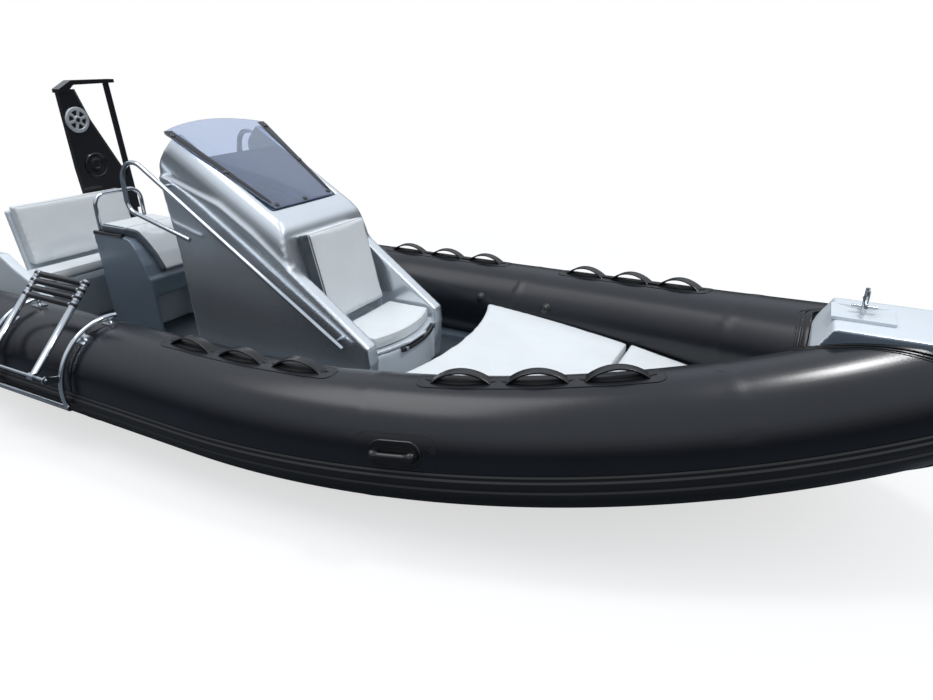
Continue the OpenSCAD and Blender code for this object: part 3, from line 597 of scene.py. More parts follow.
def eased(line: Array, rounds: int) -> Array:
    """Smooths a closed line: each point becomes half itself and a quarter of each neighbour.

    Args:
        line: Closed line, shape (n, d).
        rounds: Rounds of smoothing.

    Returns:
        The smoothed line.
    """
    for _ in range(rounds):
        line = 0.25 * np.roll(line, 1, axis=0) + 0.5 * line + 0.25 * np.roll(line, -1, axis=0)
    return line


def ring(radius: float, count: int) -> Array:
    """Gives a circle, shape (count, 2)."""
    a = np.linspace(0, 2 * np.pi, count, endpoint=False)
    return radius * np.stack([np.cos(a), np.sin(a)], axis=1)


def lathe(profile: Any, origin: Any, axis: Any, count: int) -> Array:
    """Turns a profile of (radius, height) about an axis.

    Args:
        profile: Points of radius and height, shape (n, 2).
        origin: Point on the axis at height zero.
        axis: Direction of the axis.
        count: Points in a turn.

    Returns:
        Points, shape (n, count, 3).
    """
    line = np.asarray(profile, dtype=float)
    high = np.asarray(axis, dtype=float) / np.linalg.norm(axis)
    first = np.cross(high, [0.0, 0.0, 1.0] if abs(high[2]) < 0.9 else [1.0, 0.0, 0.0])
    first = first / np.linalg.norm(first)
    second = np.cross(high, first)
    a = np.linspace(0, 2 * np.pi, count, endpoint=False)
    round_ = np.cos(a)[:, None] * first + np.sin(a)[:, None] * second
    return np.asarray(origin, dtype=float) + line[:, None, :1] * round_ + line[:, None, 1:] * high


def place(obj: bpy.types.Object, body: str, slot: str, *nodes: str) -> bpy.types.Object:
    """Lets a piece ride on a body and stand for CAD nodes.

    Args:
        obj: The piece.
        body: Body that it rides on.
        slot: Material slot; not used.
        *nodes: CAD nodes that it replaces.

    Returns:
        The piece.
    """
    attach(obj, body)
    if nodes:
        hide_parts(*nodes)
    LOG.info("%s on %s, %d faces", obj.name, body, len(obj.data.polygons))
    return obj


def node_copy(node: str, name: str) -> bpy.types.Object:
    """Copies a CAD node's mesh into a new object, merged so that its faces share points.

    Args:
        node: CAD node.
        name: Name of the copy.

    Returns:
        The copy, linked to the scene.
    """
    mesh = NODES[node].data.copy()
    mesh.name = name
    tidy_mesh(mesh)
    obj = bpy.data.objects.new(name, mesh)
    bpy.context.scene.collection.objects.link(obj)
    mesh.materials.clear()
    return obj


def coordinates(obj: bpy.types.Object) -> Array:
    """Gives a mesh's points, shape (n, 3).

    Args:
        obj: Mesh object.

    Returns:
        Its points.
    """
    flat = np.empty(len(obj.data.vertices) * 3)
    obj.data.vertices.foreach_get("co", flat)
    return flat.reshape(-1, 3)


def set_coordinates(obj: bpy.types.Object, points: Array) -> None:
    """Moves a mesh's points."""
    obj.data.vertices.foreach_set("co", points.ravel())
    obj.data.update()


def evaluated(obj: bpy.types.Object) -> Array:
    """Gives the points of a mesh with its modifiers, shape (n, 3).

    Args:
        obj: Mesh object.

    Returns:
        Its points after the modifiers.
    """
    final = obj.evaluated_get(bpy.context.evaluated_depsgraph_get())
    flat = np.empty(len(final.data.vertices) * 3)
    final.data.vertices.foreach_get("co", flat)
    return flat.reshape(-1, 3)


def applied(obj: bpy.types.Object) -> bpy.types.Object:
    """Makes an object's modifiers permanent.

    Args:
        obj: Mesh object.

    Returns:
        The same object, with a new mesh.
    """
    graph = bpy.context.evaluated_depsgraph_get()
    mesh = bpy.data.meshes.new_from_object(obj.evaluated_get(graph), depsgraph=graph)
    obj.modifiers.clear()
    old = obj.data
    mesh.name = obj.name
    obj.data = mesh
    bpy.data.meshes.remove(old)
    mesh.materials.clear()
    return obj


def netted(obj: bpy.types.Object, voxel: float, rounds: int) -> bpy.types.Object:
    """Turns a closed mesh into an even net of quads with soft edges.

    Args:
        obj: Object whose mesh is replaced.
        voxel: Spacing of the net.
        rounds: Rounds of averaging, which soften the edges.

    Returns:
        The same object.
    """
    net = obj.modifiers.new("net", "REMESH")
    net.mode = "VOXEL"
    net.voxel_size = voxel
    return relaxed(obj, rounds)


def relaxed(obj: bpy.types.Object, rounds: int) -> bpy.types.Object:
    """Averages each point with its neighbours for some rounds, and makes the modifiers permanent.

    Args:
        obj: Mesh object.
        rounds: Rounds of averaging.

    Returns:
        The same object.
    """
    relax = obj.modifiers.new("relax", "SMOOTH")
    relax.factor = 0.5
    relax.iterations = rounds
    return applied(obj)


def face_frames(obj: bpy.types.Object) -> tuple[Array, Array]:
    """Gives the middles and the normals of a mesh's faces, each of shape (n, 3).

    Args:
        obj: Mesh object.

    Returns:
        Middles and normals.
    """
    middle, normal = np.empty((2, len(obj.data.polygons) * 3), dtype=np.float32)
    obj.data.polygons.foreach_get("center", middle)
    obj.data.polygons.foreach_get("normal", normal)
    return middle.reshape(-1, 3), normal.reshape(-1, 3)


def painted(obj: bpy.types.Object, finish: Finish, chosen: Array) -> None:
    """Gives the chosen faces a second finish."""
    obj.data.materials.append(finish.material())
    obj.data.polygons.foreach_set("material_index", chosen.astype(np.int32))


# ---------------------------------------------------------------- tubes


@dataclass
class TubeLine:
    """Axis of a tube: straight from the stern, then a circular arc in a tilted plane.

    A place along it is counted from the start of the bend. Round it, an angle is counted from outboard
    upwards. All points are on the port side; starboard mirrors y.
    """

    radius: float = 0.26
    y: float = 0.945
    z: float = 0.29
    bend_x: float = 2.4
    bend_radius: float = 4.7
    tilt: float = math.radians(19.0)
    nose_half: float = 0.2103
    nose_x: float = 4.7997

    def point(self, s: Any, angle: Any, radius: Any, side: Side) -> Array:
        """Gives points about the axis.

        The axis point moves along the arc; out and up are the section's axes turned with it, so that
        at the start of the bend they are the boat's own.

        Args:
            s: Place along the axis.
            angle: Angle round it from outboard upwards.
            radius: Distance from the axis.
            side: Side of the boat.

        Returns:
            Points, shape of the broadcast arguments and 3.
        """
        s, angle, radius = np.broadcast_arrays(*(np.asarray(v, dtype=float) for v in (s, angle, radius)))
        theta = np.maximum(s, 0) / self.bend_radius
        sin_t, cos_t = math.sin(self.tilt), math.cos(self.tilt)
        drop = self.bend_radius * (1 - np.cos(theta))
        spread = radius * np.cos(angle + self.tilt)
        rise = radius * np.sin(angle + self.tilt)
        x = self.bend_x + np.minimum(s, 0) + (self.bend_radius + spread) * np.sin(theta)
        inward = spread * np.cos(theta) - drop
        y = self.y + inward * cos_t + rise * sin_t
        z = self.z - inward * sin_t + rise * cos_t
        return np.stack([x, y * side.value, z], axis=-1)

    def end(self, angle: Any, radius: Any) -> Array:
        """Gives the place where the surface meets the nose, at an angle and distance from the axis.

        It is the later of the crossing with the nose's side wall and that with its aft plane.

        Args:
            angle: Angle round the axis.
            radius: Distance from the axis.

        Returns:
            Place along the axis.
        """
        spread = radius * np.cos(angle + self.tilt)
        rise = radius * np.sin(angle + self.tilt)
        reach = self.bend_radius + spread
        centre = self.y - self.bend_radius * math.cos(self.tilt)
        wall = (self.nose_half - centre - rise * math.sin(self.tilt)) / (reach * math.cos(self.tilt))
        at_wall = np.arccos(np.clip(wall, -1, 1))
        at_face = np.arcsin(np.clip((self.nose_x - self.bend_x) / reach, -1, 1))
        return np.maximum(at_wall, at_face) * self.bend_radius

    def draped(self, spot: tuple[float, float], outline: Array, heights: Any, insets: Any, side: Side) -> Array:
        """Lays a plate on the tube: rings of an outline, moved in by insets and lifted by heights.

        Args:
            spot: Place of the plate's middle along the tube, and its angle round it.
            outline: Closed outline, along and round the tube, shape (n, 2).
            heights: Lift of each ring above the tube.
            insets: Move of each ring into the outline.
            side: Side of the boat.

        Returns:
            Points, shape (rings, n, 3).
        """
        flat = outline[None] - np.asarray(insets)[:, None, None] * outward(outline)[None]
        angle = spot[1] + flat[..., 1] / self.radius
        return self.point(spot[0] + flat[..., 0], angle, self.radius + np.asarray(heights)[:, None], side)


LINE = TubeLine()


@dataclass
class Tubes:
    """The two air tubes with their seams, tape rings, strakes and grabs."""

    cone_x: float = 0.12
    cone_len: float = 0.38
    cone_radius: float = 0.125
    cone_round: float = 0.04
    columns: int = 160
    round_rings: int = 7
    cone_rings: int = 12
    run_rings: int = 90
    bend_rings: int = 110
    seams: tuple[float, ...] = (-1.78, -0.72, 0.875, 2.25)
    seam_half: float = 0.022
    seam_height: float = 0.0014
    seam_soft: float = 0.002
    # Each tape: its near and far edge from the nose, and its height.
    tape_bands: tuple[tuple[float, float, float], ...] = (
        (0.002, 0.028, 0.006),
        (0.04, 0.052, 0.004),
        (0.064, 0.07, 0.0025),
    )
    tape_round: float = 0.002
    tape_sink: float = 0.001
    strake_width: float = 0.12
    strake_height: float = 0.018
    strake_stern: float = 0.14
    strake_rings: int = 60
    strake_inner: int = 9
    # The strake's ridged face: shares of its width and of its height.
    strake_face: Profile = (
        (0, 0.15), (0.05, 0.45), (0.15, 0.5), (0.2, 0.88), (0.26, 1), (0.38, 1), (0.44, 0.88), (0.49, 0.5),
        (0.55, 0.5), (0.6, 0.88), (0.66, 1), (0.78, 1), (0.84, 0.88), (0.89, 0.5), (0.96, 0.45), (1, 0.15),
    )
    groups: tuple[tuple[str, float], ...] = (("aft", 0.2), ("fore", 1.55))
    grab_len: float = 0.25
    grab_height: float = 0.048
    grab_width: float = 0.05
    grab_thick: float = 0.009
    grab_round: float = 0.004
    grab_pitch: float = 0.304
    grab_flare: float = 0.2
    pad_half: tuple[float, float] = (0.15, 0.034)
    pad_heights: tuple[float, ...] = (0.002, 0.0045, 0.0055)
    pad_insets: tuple[float, ...] = (0.0, 0.0, 0.002)
    patch_width: float = 0.11
    patch_thick: float = 0.003
    patch_end: float = 0.06
    patch_corner: float = 0.045
    # The patch's rings above its foot: how far each lies below the bead's top. Then the insets of all rings.
    patch_drops: tuple[float, ...] = (0.001, 0.0, 0.0, 0.0014, 0.0014, 0.001)
    patch_insets: tuple[float, ...] = (0.0, 0.0, 0.001, 0.006, 0.007, 0.009, 0.044)

    def build(self) -> None:
        """Builds every piece of both tubes."""
        for side in Side:
            self.tube(side)
            self.tapes(side)
            self.strake(side)
            for word, middle in self.groups:
                self.patch(side, word, middle)
                self.grabs(side, word, middle)

    def tube(self, side: Side) -> None:
        """Builds a tube: rings of a varying radius from the stern cone to the nose's wall.

        The radius grows from the rounded cone end to the full one, and steps up by the seam's height
        where a glued lap crosses the tube.

        Args:
            side: Side of the boat.
        """
        turn = np.linspace(0, np.pi / 2, self.round_rings)
        start = self.cone_x - self.cone_len - LINE.bend_x
        round_s = start + self.cone_round * (1 - np.sin(turn[::-1]))
        round_r = self.cone_radius - self.cone_round * (1 - np.cos(turn[::-1]))
        cone_s = np.linspace(round_s[-1], self.cone_x - LINE.bend_x, self.cone_rings)[1:]
        cone_r = np.linspace(self.cone_radius, LINE.radius, self.cone_rings)[1:]
        laps = np.array(self.seams)
        edges = laps[:, None] + self.seam_half * np.array([-1, 1])
        marks = (edges + self.seam_soft * np.array([[-1.0, 0.0], [0.0, 1.0]])[:, None]).ravel()
        run = np.unique(np.concatenate([np.linspace(cone_s[-1], 0, self.run_rings)[1:], marks[marks < 0]]))
        stern = np.concatenate([round_s, cone_s, run])
        stern_r = np.concatenate([round_r, cone_r, np.full(len(run), LINE.radius)])
        angle = np.linspace(0, 2 * np.pi, self.columns, endpoint=False)
        last = LINE.end(angle, LINE.radius)
        bend = np.linspace(0, 1, self.bend_rings)[1:]
        share = np.unique(np.concatenate([bend, marks[marks > 0] / last.mean()]))
        s = np.concatenate([np.repeat(stern[:, None], self.columns, axis=1), share[:, None] * last[None]])
        base = np.concatenate([stern_r, np.full(len(share), LINE.radius)])[:, None]
        near = np.abs(s[..., None] - laps).min(axis=-1)
        lap = np.clip((self.seam_half + self.seam_soft - near) / self.seam_soft, 0, 1)
        uv = np.stack(np.broadcast_arrays(s, LINE.radius * angle[None]), axis=-1)
        skin = LINE.point(s, angle[None], base + self.seam_height * lap, side)
        shell = Shell("air_tube_" + side.word).grid(skin, uv=uv)
        place(shell.build(TUBE_CLOTH, 50), BOAT, "tube_fabric", "tube_" + side.word)

    def tapes(self, side: Side) -> None:
        """Builds the finishing tapes round the tube where it meets the nose, as low bands.

        Args:
            side: Side of the boat.
        """
        angle = np.linspace(0, 2 * np.pi, self.columns, endpoint=False)
        last = LINE.end(angle, LINE.radius)
        shell = Shell("nose_tapes_" + side.word)
        for near, far, lift in self.tape_bands:
            back = np.array([far, far, far - self.tape_round, near + self.tape_round, near, near])
            edge = lift - self.tape_sink
            lifted = np.array([-self.tape_sink, edge, lift, lift, edge, -self.tape_sink])
            band = LINE.point(last[None] - back[:, None], angle[None], LINE.radius + lifted[:, None], side)
            shell.grid(np.concatenate([band, band[:1]]), caps=False)
        place(shell.build(MOULDED_PVC), BOAT, "rubber")

    def strake(self, side: Side) -> None:
        """Builds the rubbing strake: its ridged face carried along the tube below the widest line.

        Args:
            side: Side of the boat.
        """
        face = np.array(self.strake_face)
        inner = np.linspace(1, 0, self.strake_inner)
        share = np.concatenate([face[:, 0], inner])
        lift = np.concatenate([face[:, 1] * self.strake_height, np.zeros(len(inner))])
        angle = -share * self.strake_width / LINE.radius
        radius = LINE.radius + FIT + lift
        stern = np.linspace(self.strake_stern - LINE.bend_x, 0, self.strake_rings)
        bend = np.linspace(0, 1, self.bend_rings)[1:, None] * LINE.end(angle, radius)[None]
        s = np.concatenate([np.repeat(stern[:, None], len(angle), axis=1), bend])
        uv = np.stack(np.broadcast_arrays(s, share[None] * self.strake_width), axis=-1)
        shell = Shell("rub_strake_" + side.word).grid(LINE.point(s, angle[None], radius[None], side), uv=uv)
        place(shell.build(STRAKE_RUBBER, 28), BOAT, "rubber", "strake_" + side.word)

    def patch(self, side: Side, word: str, middle: float) -> None:
        """Builds the patch below a group of grabs: a plate laid on the tube, with a bead round its edge.

        Args:
            side: Side of the boat.
            word: Name of the group.
            middle: Place of the group's middle along the tube.
        """
        half = self.grab_pitch + self.grab_len / 2 + self.patch_end
        plan = resampled(oblong(half, self.patch_width / 2, self.patch_corner, 10), 320)
        heights = [FIT, *(self.patch_thick - drop for drop in self.patch_drops)]
        plate = LINE.draped((middle, np.pi / 2), plan, heights, self.patch_insets, side)
        shell = Shell(f"grab_patch_{word}_{side.word}").grid(plate)
        place(shell.build(PATCH_CLOTH), BOAT, "tube_fabric")

    def grabs(self, side: Side, word: str, middle: float) -> None:
        """Builds a group of three grabs.

        Each strap is a rounded section carried along a circular bow, a little wider towards its feet.
        Below it lies a lens-shaped pad, dark as painted shade of the hollow, whose edge is a parabola on either side.

        Args:
            side: Side of the boat.
            word: Name of the group.
            middle: Place of the group's middle along the tube.
        """
        bow = (self.grab_len**2 / 4 + self.grab_height**2) / (2 * self.grab_height)
        reach = math.asin(self.grab_len / 2 / bow)
        a = np.linspace(-reach, reach, 41)
        thin, half = self.grab_thick, self.grab_width / 2
        section = rounded([[-half, -thin], [half, -thin], [half, 0], [-half, 0]], self.grab_round, 5)
        flare = 1 + self.grab_flare * np.abs(a / reach) ** 4
        rho = bow + section[None, :, 1]
        high = LINE.radius + self.grab_height - bow + rho * np.cos(a)[:, None]
        wide = section[None, :, 0] * flare[:, None]
        t = np.linspace(-1, 1, 33)
        edge = np.stack([self.pad_half[0] * t, self.pad_half[1] * (1 - t**2)], axis=1)
        lens = np.concatenate([edge, -edge[1:-1]])
        straps = Shell(f"hand_grabs_{word}_{side.word}")
        pads = Shell(f"grab_pads_{word}_{side.word}")
        for i in (-1, 0, 1):
            spot = middle + i * self.grab_pitch
            along = spot + rho * np.sin(a)[:, None]
            straps.grid(LINE.point(along, np.arctan2(high, wide), np.hypot(high, wide), side))
            pads.grid(LINE.draped((spot, np.pi / 2), lens, self.pad_heights, self.pad_insets, side))
        place(straps.build(MOULDED_PVC), BOAT, "rubber", f"grabs_{word}_{side.word}")
        # The pads are painted shade of the hollow below each grab.
        place(pads.build(SHADED_PAD_RUBBER), BOAT, "rubber")


@dataclass
class CarryHandles:
    """The moulded carry handles: on a glued patch, an oval base with a raised rim, and a bar on two posts."""

    bend: float = math.radians(12.6)
    rise: float = math.radians(14)
    base_half: tuple[float, float] = (0.105, 0.055)
    base_corner: float = 0.0549
    base_heights: tuple[float, ...] = (FIT, 0.004, 0.007, 0.0075, 0.0055, 0.005, 0.006)
    base_insets: tuple[float, ...] = (0.0, 0.0, 0.003, 0.008, 0.012, 0.02, 0.05)
    patch_half: tuple[float, float] = (0.16, 0.085)
    patch_corner: float = 0.05
    patch_heights: tuple[float, ...] = (0.0002, 0.0013, 0.0016)
    patch_insets: tuple[float, ...] = (0.0, 0.0, 0.0012)
    bar_half: float = 0.094
    bar_radius: float = 0.0135
    bar_swell: float = 0.008
    swell_from: float = 0.5
    swell_span: float = 0.28
    end_from: float = 0.8
    end_span: float = 0.2
    end_least: float = 0.0004
    bar_lift: float = 0.03
    bar_drop: float = 0.012
    post_at: float = 0.0756
    post: Profile = ((0.019, -0.012), (0.019, 0.024), (0.012, 0.03))

    def build(self) -> None:
        """Builds the handle and its patch on both tubes.

        The bar's radius swells smoothly towards its ends and closes there as a quarter ellipse. Its
        middle line drops with the sixth power of the distance from the middle.
        """
        middle = self.bend * LINE.bend_radius
        spot = (middle, self.rise)
        base = resampled(oblong(*self.base_half, self.base_corner, 16), 120)
        seam = resampled(oblong(*self.patch_half, self.patch_corner, 12), 160)
        t = np.linspace(-1, 1, 61)
        swell = np.clip((np.abs(t) - self.swell_from) / self.swell_span, 0, 1)
        thick = self.bar_radius + self.bar_swell * swell * swell * (3 - 2 * swell)
        end = np.clip((np.abs(t) - self.end_from) / self.end_span, 0, 1)
        thick = thick * np.sqrt(np.clip(1 - end**2, self.end_least, 1))
        lift = self.bar_lift - self.bar_drop * np.abs(t) ** 6
        turn = np.linspace(0, 2 * np.pi, 24, endpoint=False)
        bar = np.stack(
            np.broadcast_arrays(
                self.bar_half * t[:, None],
                thick[:, None] * np.cos(turn),
                lift[:, None] + thick[:, None] * np.sin(turn),
            ),
            axis=-1,
        )
        post = lathe(self.post, (0, 0, 0), (0, 0, 1), 24)
        shell = Shell("moulded_carry_handles")
        patch = Shell("carry_patches")
        for side in Side:
            patch.grid(LINE.draped(spot, seam, self.patch_heights, self.patch_insets, side))
            shell.grid(LINE.draped(spot, base, self.base_heights, self.base_insets, side))
            shell.grid(self.stood(bar, middle, side))
            for foot in (-1, 1):
                shell.grid(self.stood(post, middle + foot * self.post_at, side))
        place(shell.build(MOULDED_PVC), BOAT, "rubber", "carry_handles")
        place(patch.build(PATCH_CLOTH), BOAT, "tube_fabric")

    def stood(self, part: Array, along: float, side: Side) -> Array:
        """Stands a part on the tube: its points are along the tube, across it and out of it.

        Args:
            part: Points of the part, shape (..., 3).
            along: Place of its origin along the tube.
            side: Side of the boat.

        Returns:
            Points of the boat.
        """
        high = LINE.radius + part[..., 2]
        angle = self.rise + np.arctan2(part[..., 1], high)
        return LINE.point(along + part[..., 0], angle, np.hypot(high, part[..., 1]), side)


@dataclass
class Valves:
    """The inflation valves inboard on the tubes: a flange, a collar and a cap, turned about the tube's normal."""

    bends: tuple[float, ...] = (math.radians(7.5), math.radians(13.6))
    way: float = math.pi - math.radians(22)
    profile: Profile = (
        (0.031, -0.004), (0.031, 0.003), (0.028, 0.005), (0.0225, 0.0055), (0.0225, 0.0105),
        (0.0195, 0.0135), (0.013, 0.0158), (0.006, 0.0168), (0.001, 0.017),
    )

    def build(self) -> None:
        """Builds the valves of both tubes as one piece."""
        shell = Shell("inflation_valves")
        for side in Side:
            for bend in self.bends:
                s = bend * LINE.bend_radius
                foot = LINE.point(s, self.way, LINE.radius, side)
                out = foot - LINE.point(s, self.way, 0.0, side)
                shell.grid(lathe(self.profile, foot, out, 36))
        place(shell.build(BLACK_ABS), BOAT, "rubber", "valves")


# ---------------------------------------------------------------- cushions


@dataclass
class Cushion:
    """A padded piece: the CAD solid remeshed, blown up a little as cloth, with piping round its face."""

    node: str
    body: str
    name: str
    face: Point = (0.0, 0.0, 1.0)
    voxel: float = 0.006
    # Distance into the sides that get painted shade, for the pads that have them.
    shaded_side: Callable[[Array], Array] | None = None
    shrink: float = 0.004
    soften_rounds: int = 6
    cap: float = 0.006
    frames: int = 20
    pressure: float = 2.5
    stretch_stiffness: float = 20.0
    bend_stiffness: float = 8.0
    relax_rounds: int = 5
    fill: float = 0.6
    welt_radius: float = 0.0025
    welt_step: float = 0.012

    def build(self) -> None:
        """Builds the cushion and its piping."""
        source = node_copy(self.node, self.name)
        outline = self.outline(source)
        points = coordinates(source)
        low, high = points.min(0), points.max(0)
        obj = self.remeshed(source, low, high)
        self.mark_flank(obj)
        self.inflate(obj, low, high)
        relaxed(obj, self.relax_rounds)
        self.finish(obj)
        place(obj, self.body, "upholstery", self.node)
        self.pipe(obj, outline)

    def outline(self, obj: bpy.types.Object) -> Array:
        """Gives the outline of the largest flat face that looks along the cushion's face direction.

        Args:
            obj: Copy of the CAD solid.

        Returns:
            Corners of the face, shape (n, 3).
        """
        work = bmesh.new()
        work.from_mesh(obj.data)
        bmesh.ops.dissolve_limit(work, angle_limit=math.radians(1), verts=work.verts, edges=work.edges)
        way = Vector(self.face).normalized()
        best = max(work.faces, key=lambda f: f.calc_area() if f.normal.dot(way) > 0.7 else 0.0)
        points = np.array([tuple(v.co) for v in best.verts])
        work.free()
        return points

    def remeshed(self, obj: bpy.types.Object, low: Array, high: Array) -> bpy.types.Object:
        """Shrinks the solid a little and turns it into an even net of quads.

        Args:
            obj: Copy of the CAD solid.
            low: Its lowest corner.
            high: Its highest corner.

        Returns:
            The net.
        """
        points = coordinates(obj)
        middle = (low + high) / 2
        scale = 1 - 2 * self.shrink / (high - low)
        set_coordinates(obj, middle + (points - middle) * scale)
        return netted(obj, self.voxel, self.soften_rounds)

    def mark_flank(self, obj: bpy.types.Object) -> None:
        """Marks the sides that get painted shade in an attribute, where the cushion has them: it rises from 0 to 1 over
        20 mm.

        Args:
            obj: The net.
        """
        if self.shaded_side:
            mark = obj.data.attributes.new("shaded_side", "FLOAT", "POINT")
            share = np.clip(0.5 + 50 * self.shaded_side(coordinates(obj)), 0, 1)
            mark.data.foreach_set("value", share.astype(np.float32))

    def inflate(self, obj: bpy.types.Object, low: Array, high: Array) -> None:
        """Blows the net up as cloth, with each point's move capped and kept above what it rests on.

        A move longer than the cap is cut to the cap, and no point leaves the solid's box on the side
        away from the cushion's face.

        Args:
            obj: The net.
            low: Lowest corner of the solid.
            high: Highest corner of the solid.
        """
        scene = bpy.context.scene
        before = coordinates(obj)
        cloth = obj.modifiers.new("cloth", "CLOTH")
        cloth.settings.use_pressure = True
        cloth.settings.uniform_pressure_force = self.pressure
        cloth.settings.effector_weights.gravity = 0.0
        cloth.settings.quality = 4
        cloth.settings.tension_stiffness = self.stretch_stiffness
        cloth.settings.compression_stiffness = self.stretch_stiffness
        cloth.settings.bending_stiffness = self.bend_stiffness
        cloth.collision_settings.use_collision = False
        cloth.point_cache.frame_start = 1
        cloth.point_cache.frame_end = self.frames
        for number in range(1, self.frames + 1):
            scene.frame_set(number)
        moved = evaluated(obj) - before
        obj.modifiers.remove(cloth)
        scene.frame_set(1)
        length = np.linalg.norm(moved, axis=1)[:, None] + 1e-9
        after = before + moved * np.minimum(1.0, self.cap / length)
        way = np.asarray(self.face) / np.linalg.norm(self.face)
        rest = (low * (way > 0) + high * (way < 0)) @ way
        spare = np.minimum(before @ way, rest + self.shrink)
        after += np.maximum(spare - after @ way, 0)[:, None] * way
        set_coordinates(obj, after)

    def finish(self, obj: bpy.types.Object) -> None:
        """Adds one subdivision and the vinyl.

        Args:
            obj: The net.
        """
        obj.data.materials.append(PALE_VINYL.material())
        smoothed(obj, 180)
        fine = obj.modifiers.new("fine", "SUBSURF")
        fine.levels = 1
        fine.render_levels = 1

    def pipe(self, obj: bpy.types.Object, outline: Array) -> None:
        """Lays a welt round the cushion's face: a thin tube on the outline, drawn onto the cloth.

        Args:
            obj: The finished cushion.
            outline: Corners of its face, shape (n, 3).
        """
        length = np.linalg.norm(np.roll(outline, -1, axis=0) - outline, axis=1).sum()
        line = eased(resampled(outline, max(48, int(length / self.welt_step))), 3)
        tree = BVHTree.FromObject(obj, bpy.context.evaluated_depsgraph_get())
        found = [tree.find_nearest(Vector(p)) for p in line]
        spot = eased(np.array([tuple(hit[0]) for hit in found]), 2)
        welt = sweep(spot, ring(self.welt_radius, 8), self.face, closed=True)
        piece = Shell(self.name + "_welt").grid(welt, caps=False).build(WELT_VINYL)
        place(piece, self.body, "upholstery")


@dataclass
class Upholstery:
    """The seven cushions."""

    back_half: float = 0.236
    helm_x: tuple[float, float] = (0.88, 1.097)
    helm_half: tuple[float, float] = (0.195, 0.11)
    helm_band: float = 0.024

    def build(self) -> None:
        """Builds the cushions one by one."""
        upright = (1, 0, 0.2)
        for cushion in (
            Cushion("bow_cushion_aft", BOAT, "bow_pad_aft", voxel=0.012),
            Cushion("bow_cushion_fore", BOAT, "bow_pad_fore", voxel=0.008),
            Cushion("front_cushion", "front_seat", "front_seat_pad", voxel=0.007),
            Cushion("front_backrest", BOAT, "front_back_pad", upright, 0.007, self.back_flank),
            Cushion("helm_cushion", BOAT, "helm_seat_pad", voxel=0.008, shaded_side=self.helm_flank),
            Cushion("bench_cushion", BOAT, "bench_seat_pad", voxel=0.009),
            Cushion("bench_backrest", BOAT, "bench_back_pad", upright, 0.009),
        ):
            cushion.build()

    def back_flank(self, points: Array) -> Array:
        """Gives the distance of points into the front backrest's sides, which get painted shade."""
        return np.abs(points[:, 1]) - self.back_half

    def helm_flank(self, points: Array) -> Array:
        """Gives the distance of points into the helm pad's side bands of painted shade, which follow its tapered plan.
        """
        half = np.interp(points[:, 0], self.helm_x, self.helm_half)
        return np.abs(points[:, 1]) - half + self.helm_band


# ---------------------------------------------------------------- mouldings and fittings


@dataclass(frozen=True)
class Solid:
    """A copy of a CAD solid in one or two finishes.

    The second finish goes on the faces that the choice picks by their middles and normals.
    """

    node: str
    finish: Finish
    body: str = BOAT
    slot: str = "gelcoat"
    second: Finish | None = None
    choice: Callable[[Array, Array], Array] | None = None

    def dress(self, obj: bpy.types.Object, angle: float) -> None:
        """Gives the copy its finishes and lets it stand for the CAD node.

        Args:
            obj: The copy.
            angle: Edges sharper than this many degrees stay sharp.
        """
        obj.data.materials.append(self.finish.material())
        smoothed(obj, angle)
        place(obj, self.body, self.slot, self.node)
        if self.second and self.choice:
            painted(obj, self.second, self.choice(*face_frames(obj)))


@dataclass(frozen=True)
class Fitting(Solid):
    """A rigid fitting, of steel unless it says otherwise, whose sharp edges are rounded where it gives an edge width.
    """

    finish: Finish = STAINLESS
    slot: str = "stainless"
    edge: float = 0.0
    flat_angle: float = math.radians(0.6)
    sharp_angle: float = math.radians(38)

    def build(self) -> None:
        """Builds the fitting: triangles of a flat face become one face, and where an edge width is given a bevel rounds
        the edges.
        """
        obj = node_copy(self.node, self.node + "_skin")
        work = bmesh.new()
        work.from_mesh(obj.data)
        bmesh.ops.dissolve_limit(work, angle_limit=self.flat_angle, verts=work.verts, edges=work.edges)
        work.to_mesh(obj.data)
        work.free()
        if self.edge > 0:
            bevel = obj.modifiers.new("edges", "BEVEL")
            bevel.width = self.edge
            bevel.segments = 3
            bevel.limit_method = "ANGLE"
            bevel.angle_limit = self.sharp_angle
            bevel.harden_normals = True
        self.dress(obj, 35)


@dataclass(frozen=True)
class Moulding(Solid):
    """A laminate moulding: the CAD solid as an even net with soft edges."""

    voxel: float = 0.007
    rounds: int = 6

    def build(self) -> None:
        """Builds the moulding."""
        self.dress(netted(node_copy(self.node, self.node + "_moulding"), self.voxel, self.rounds), 180)


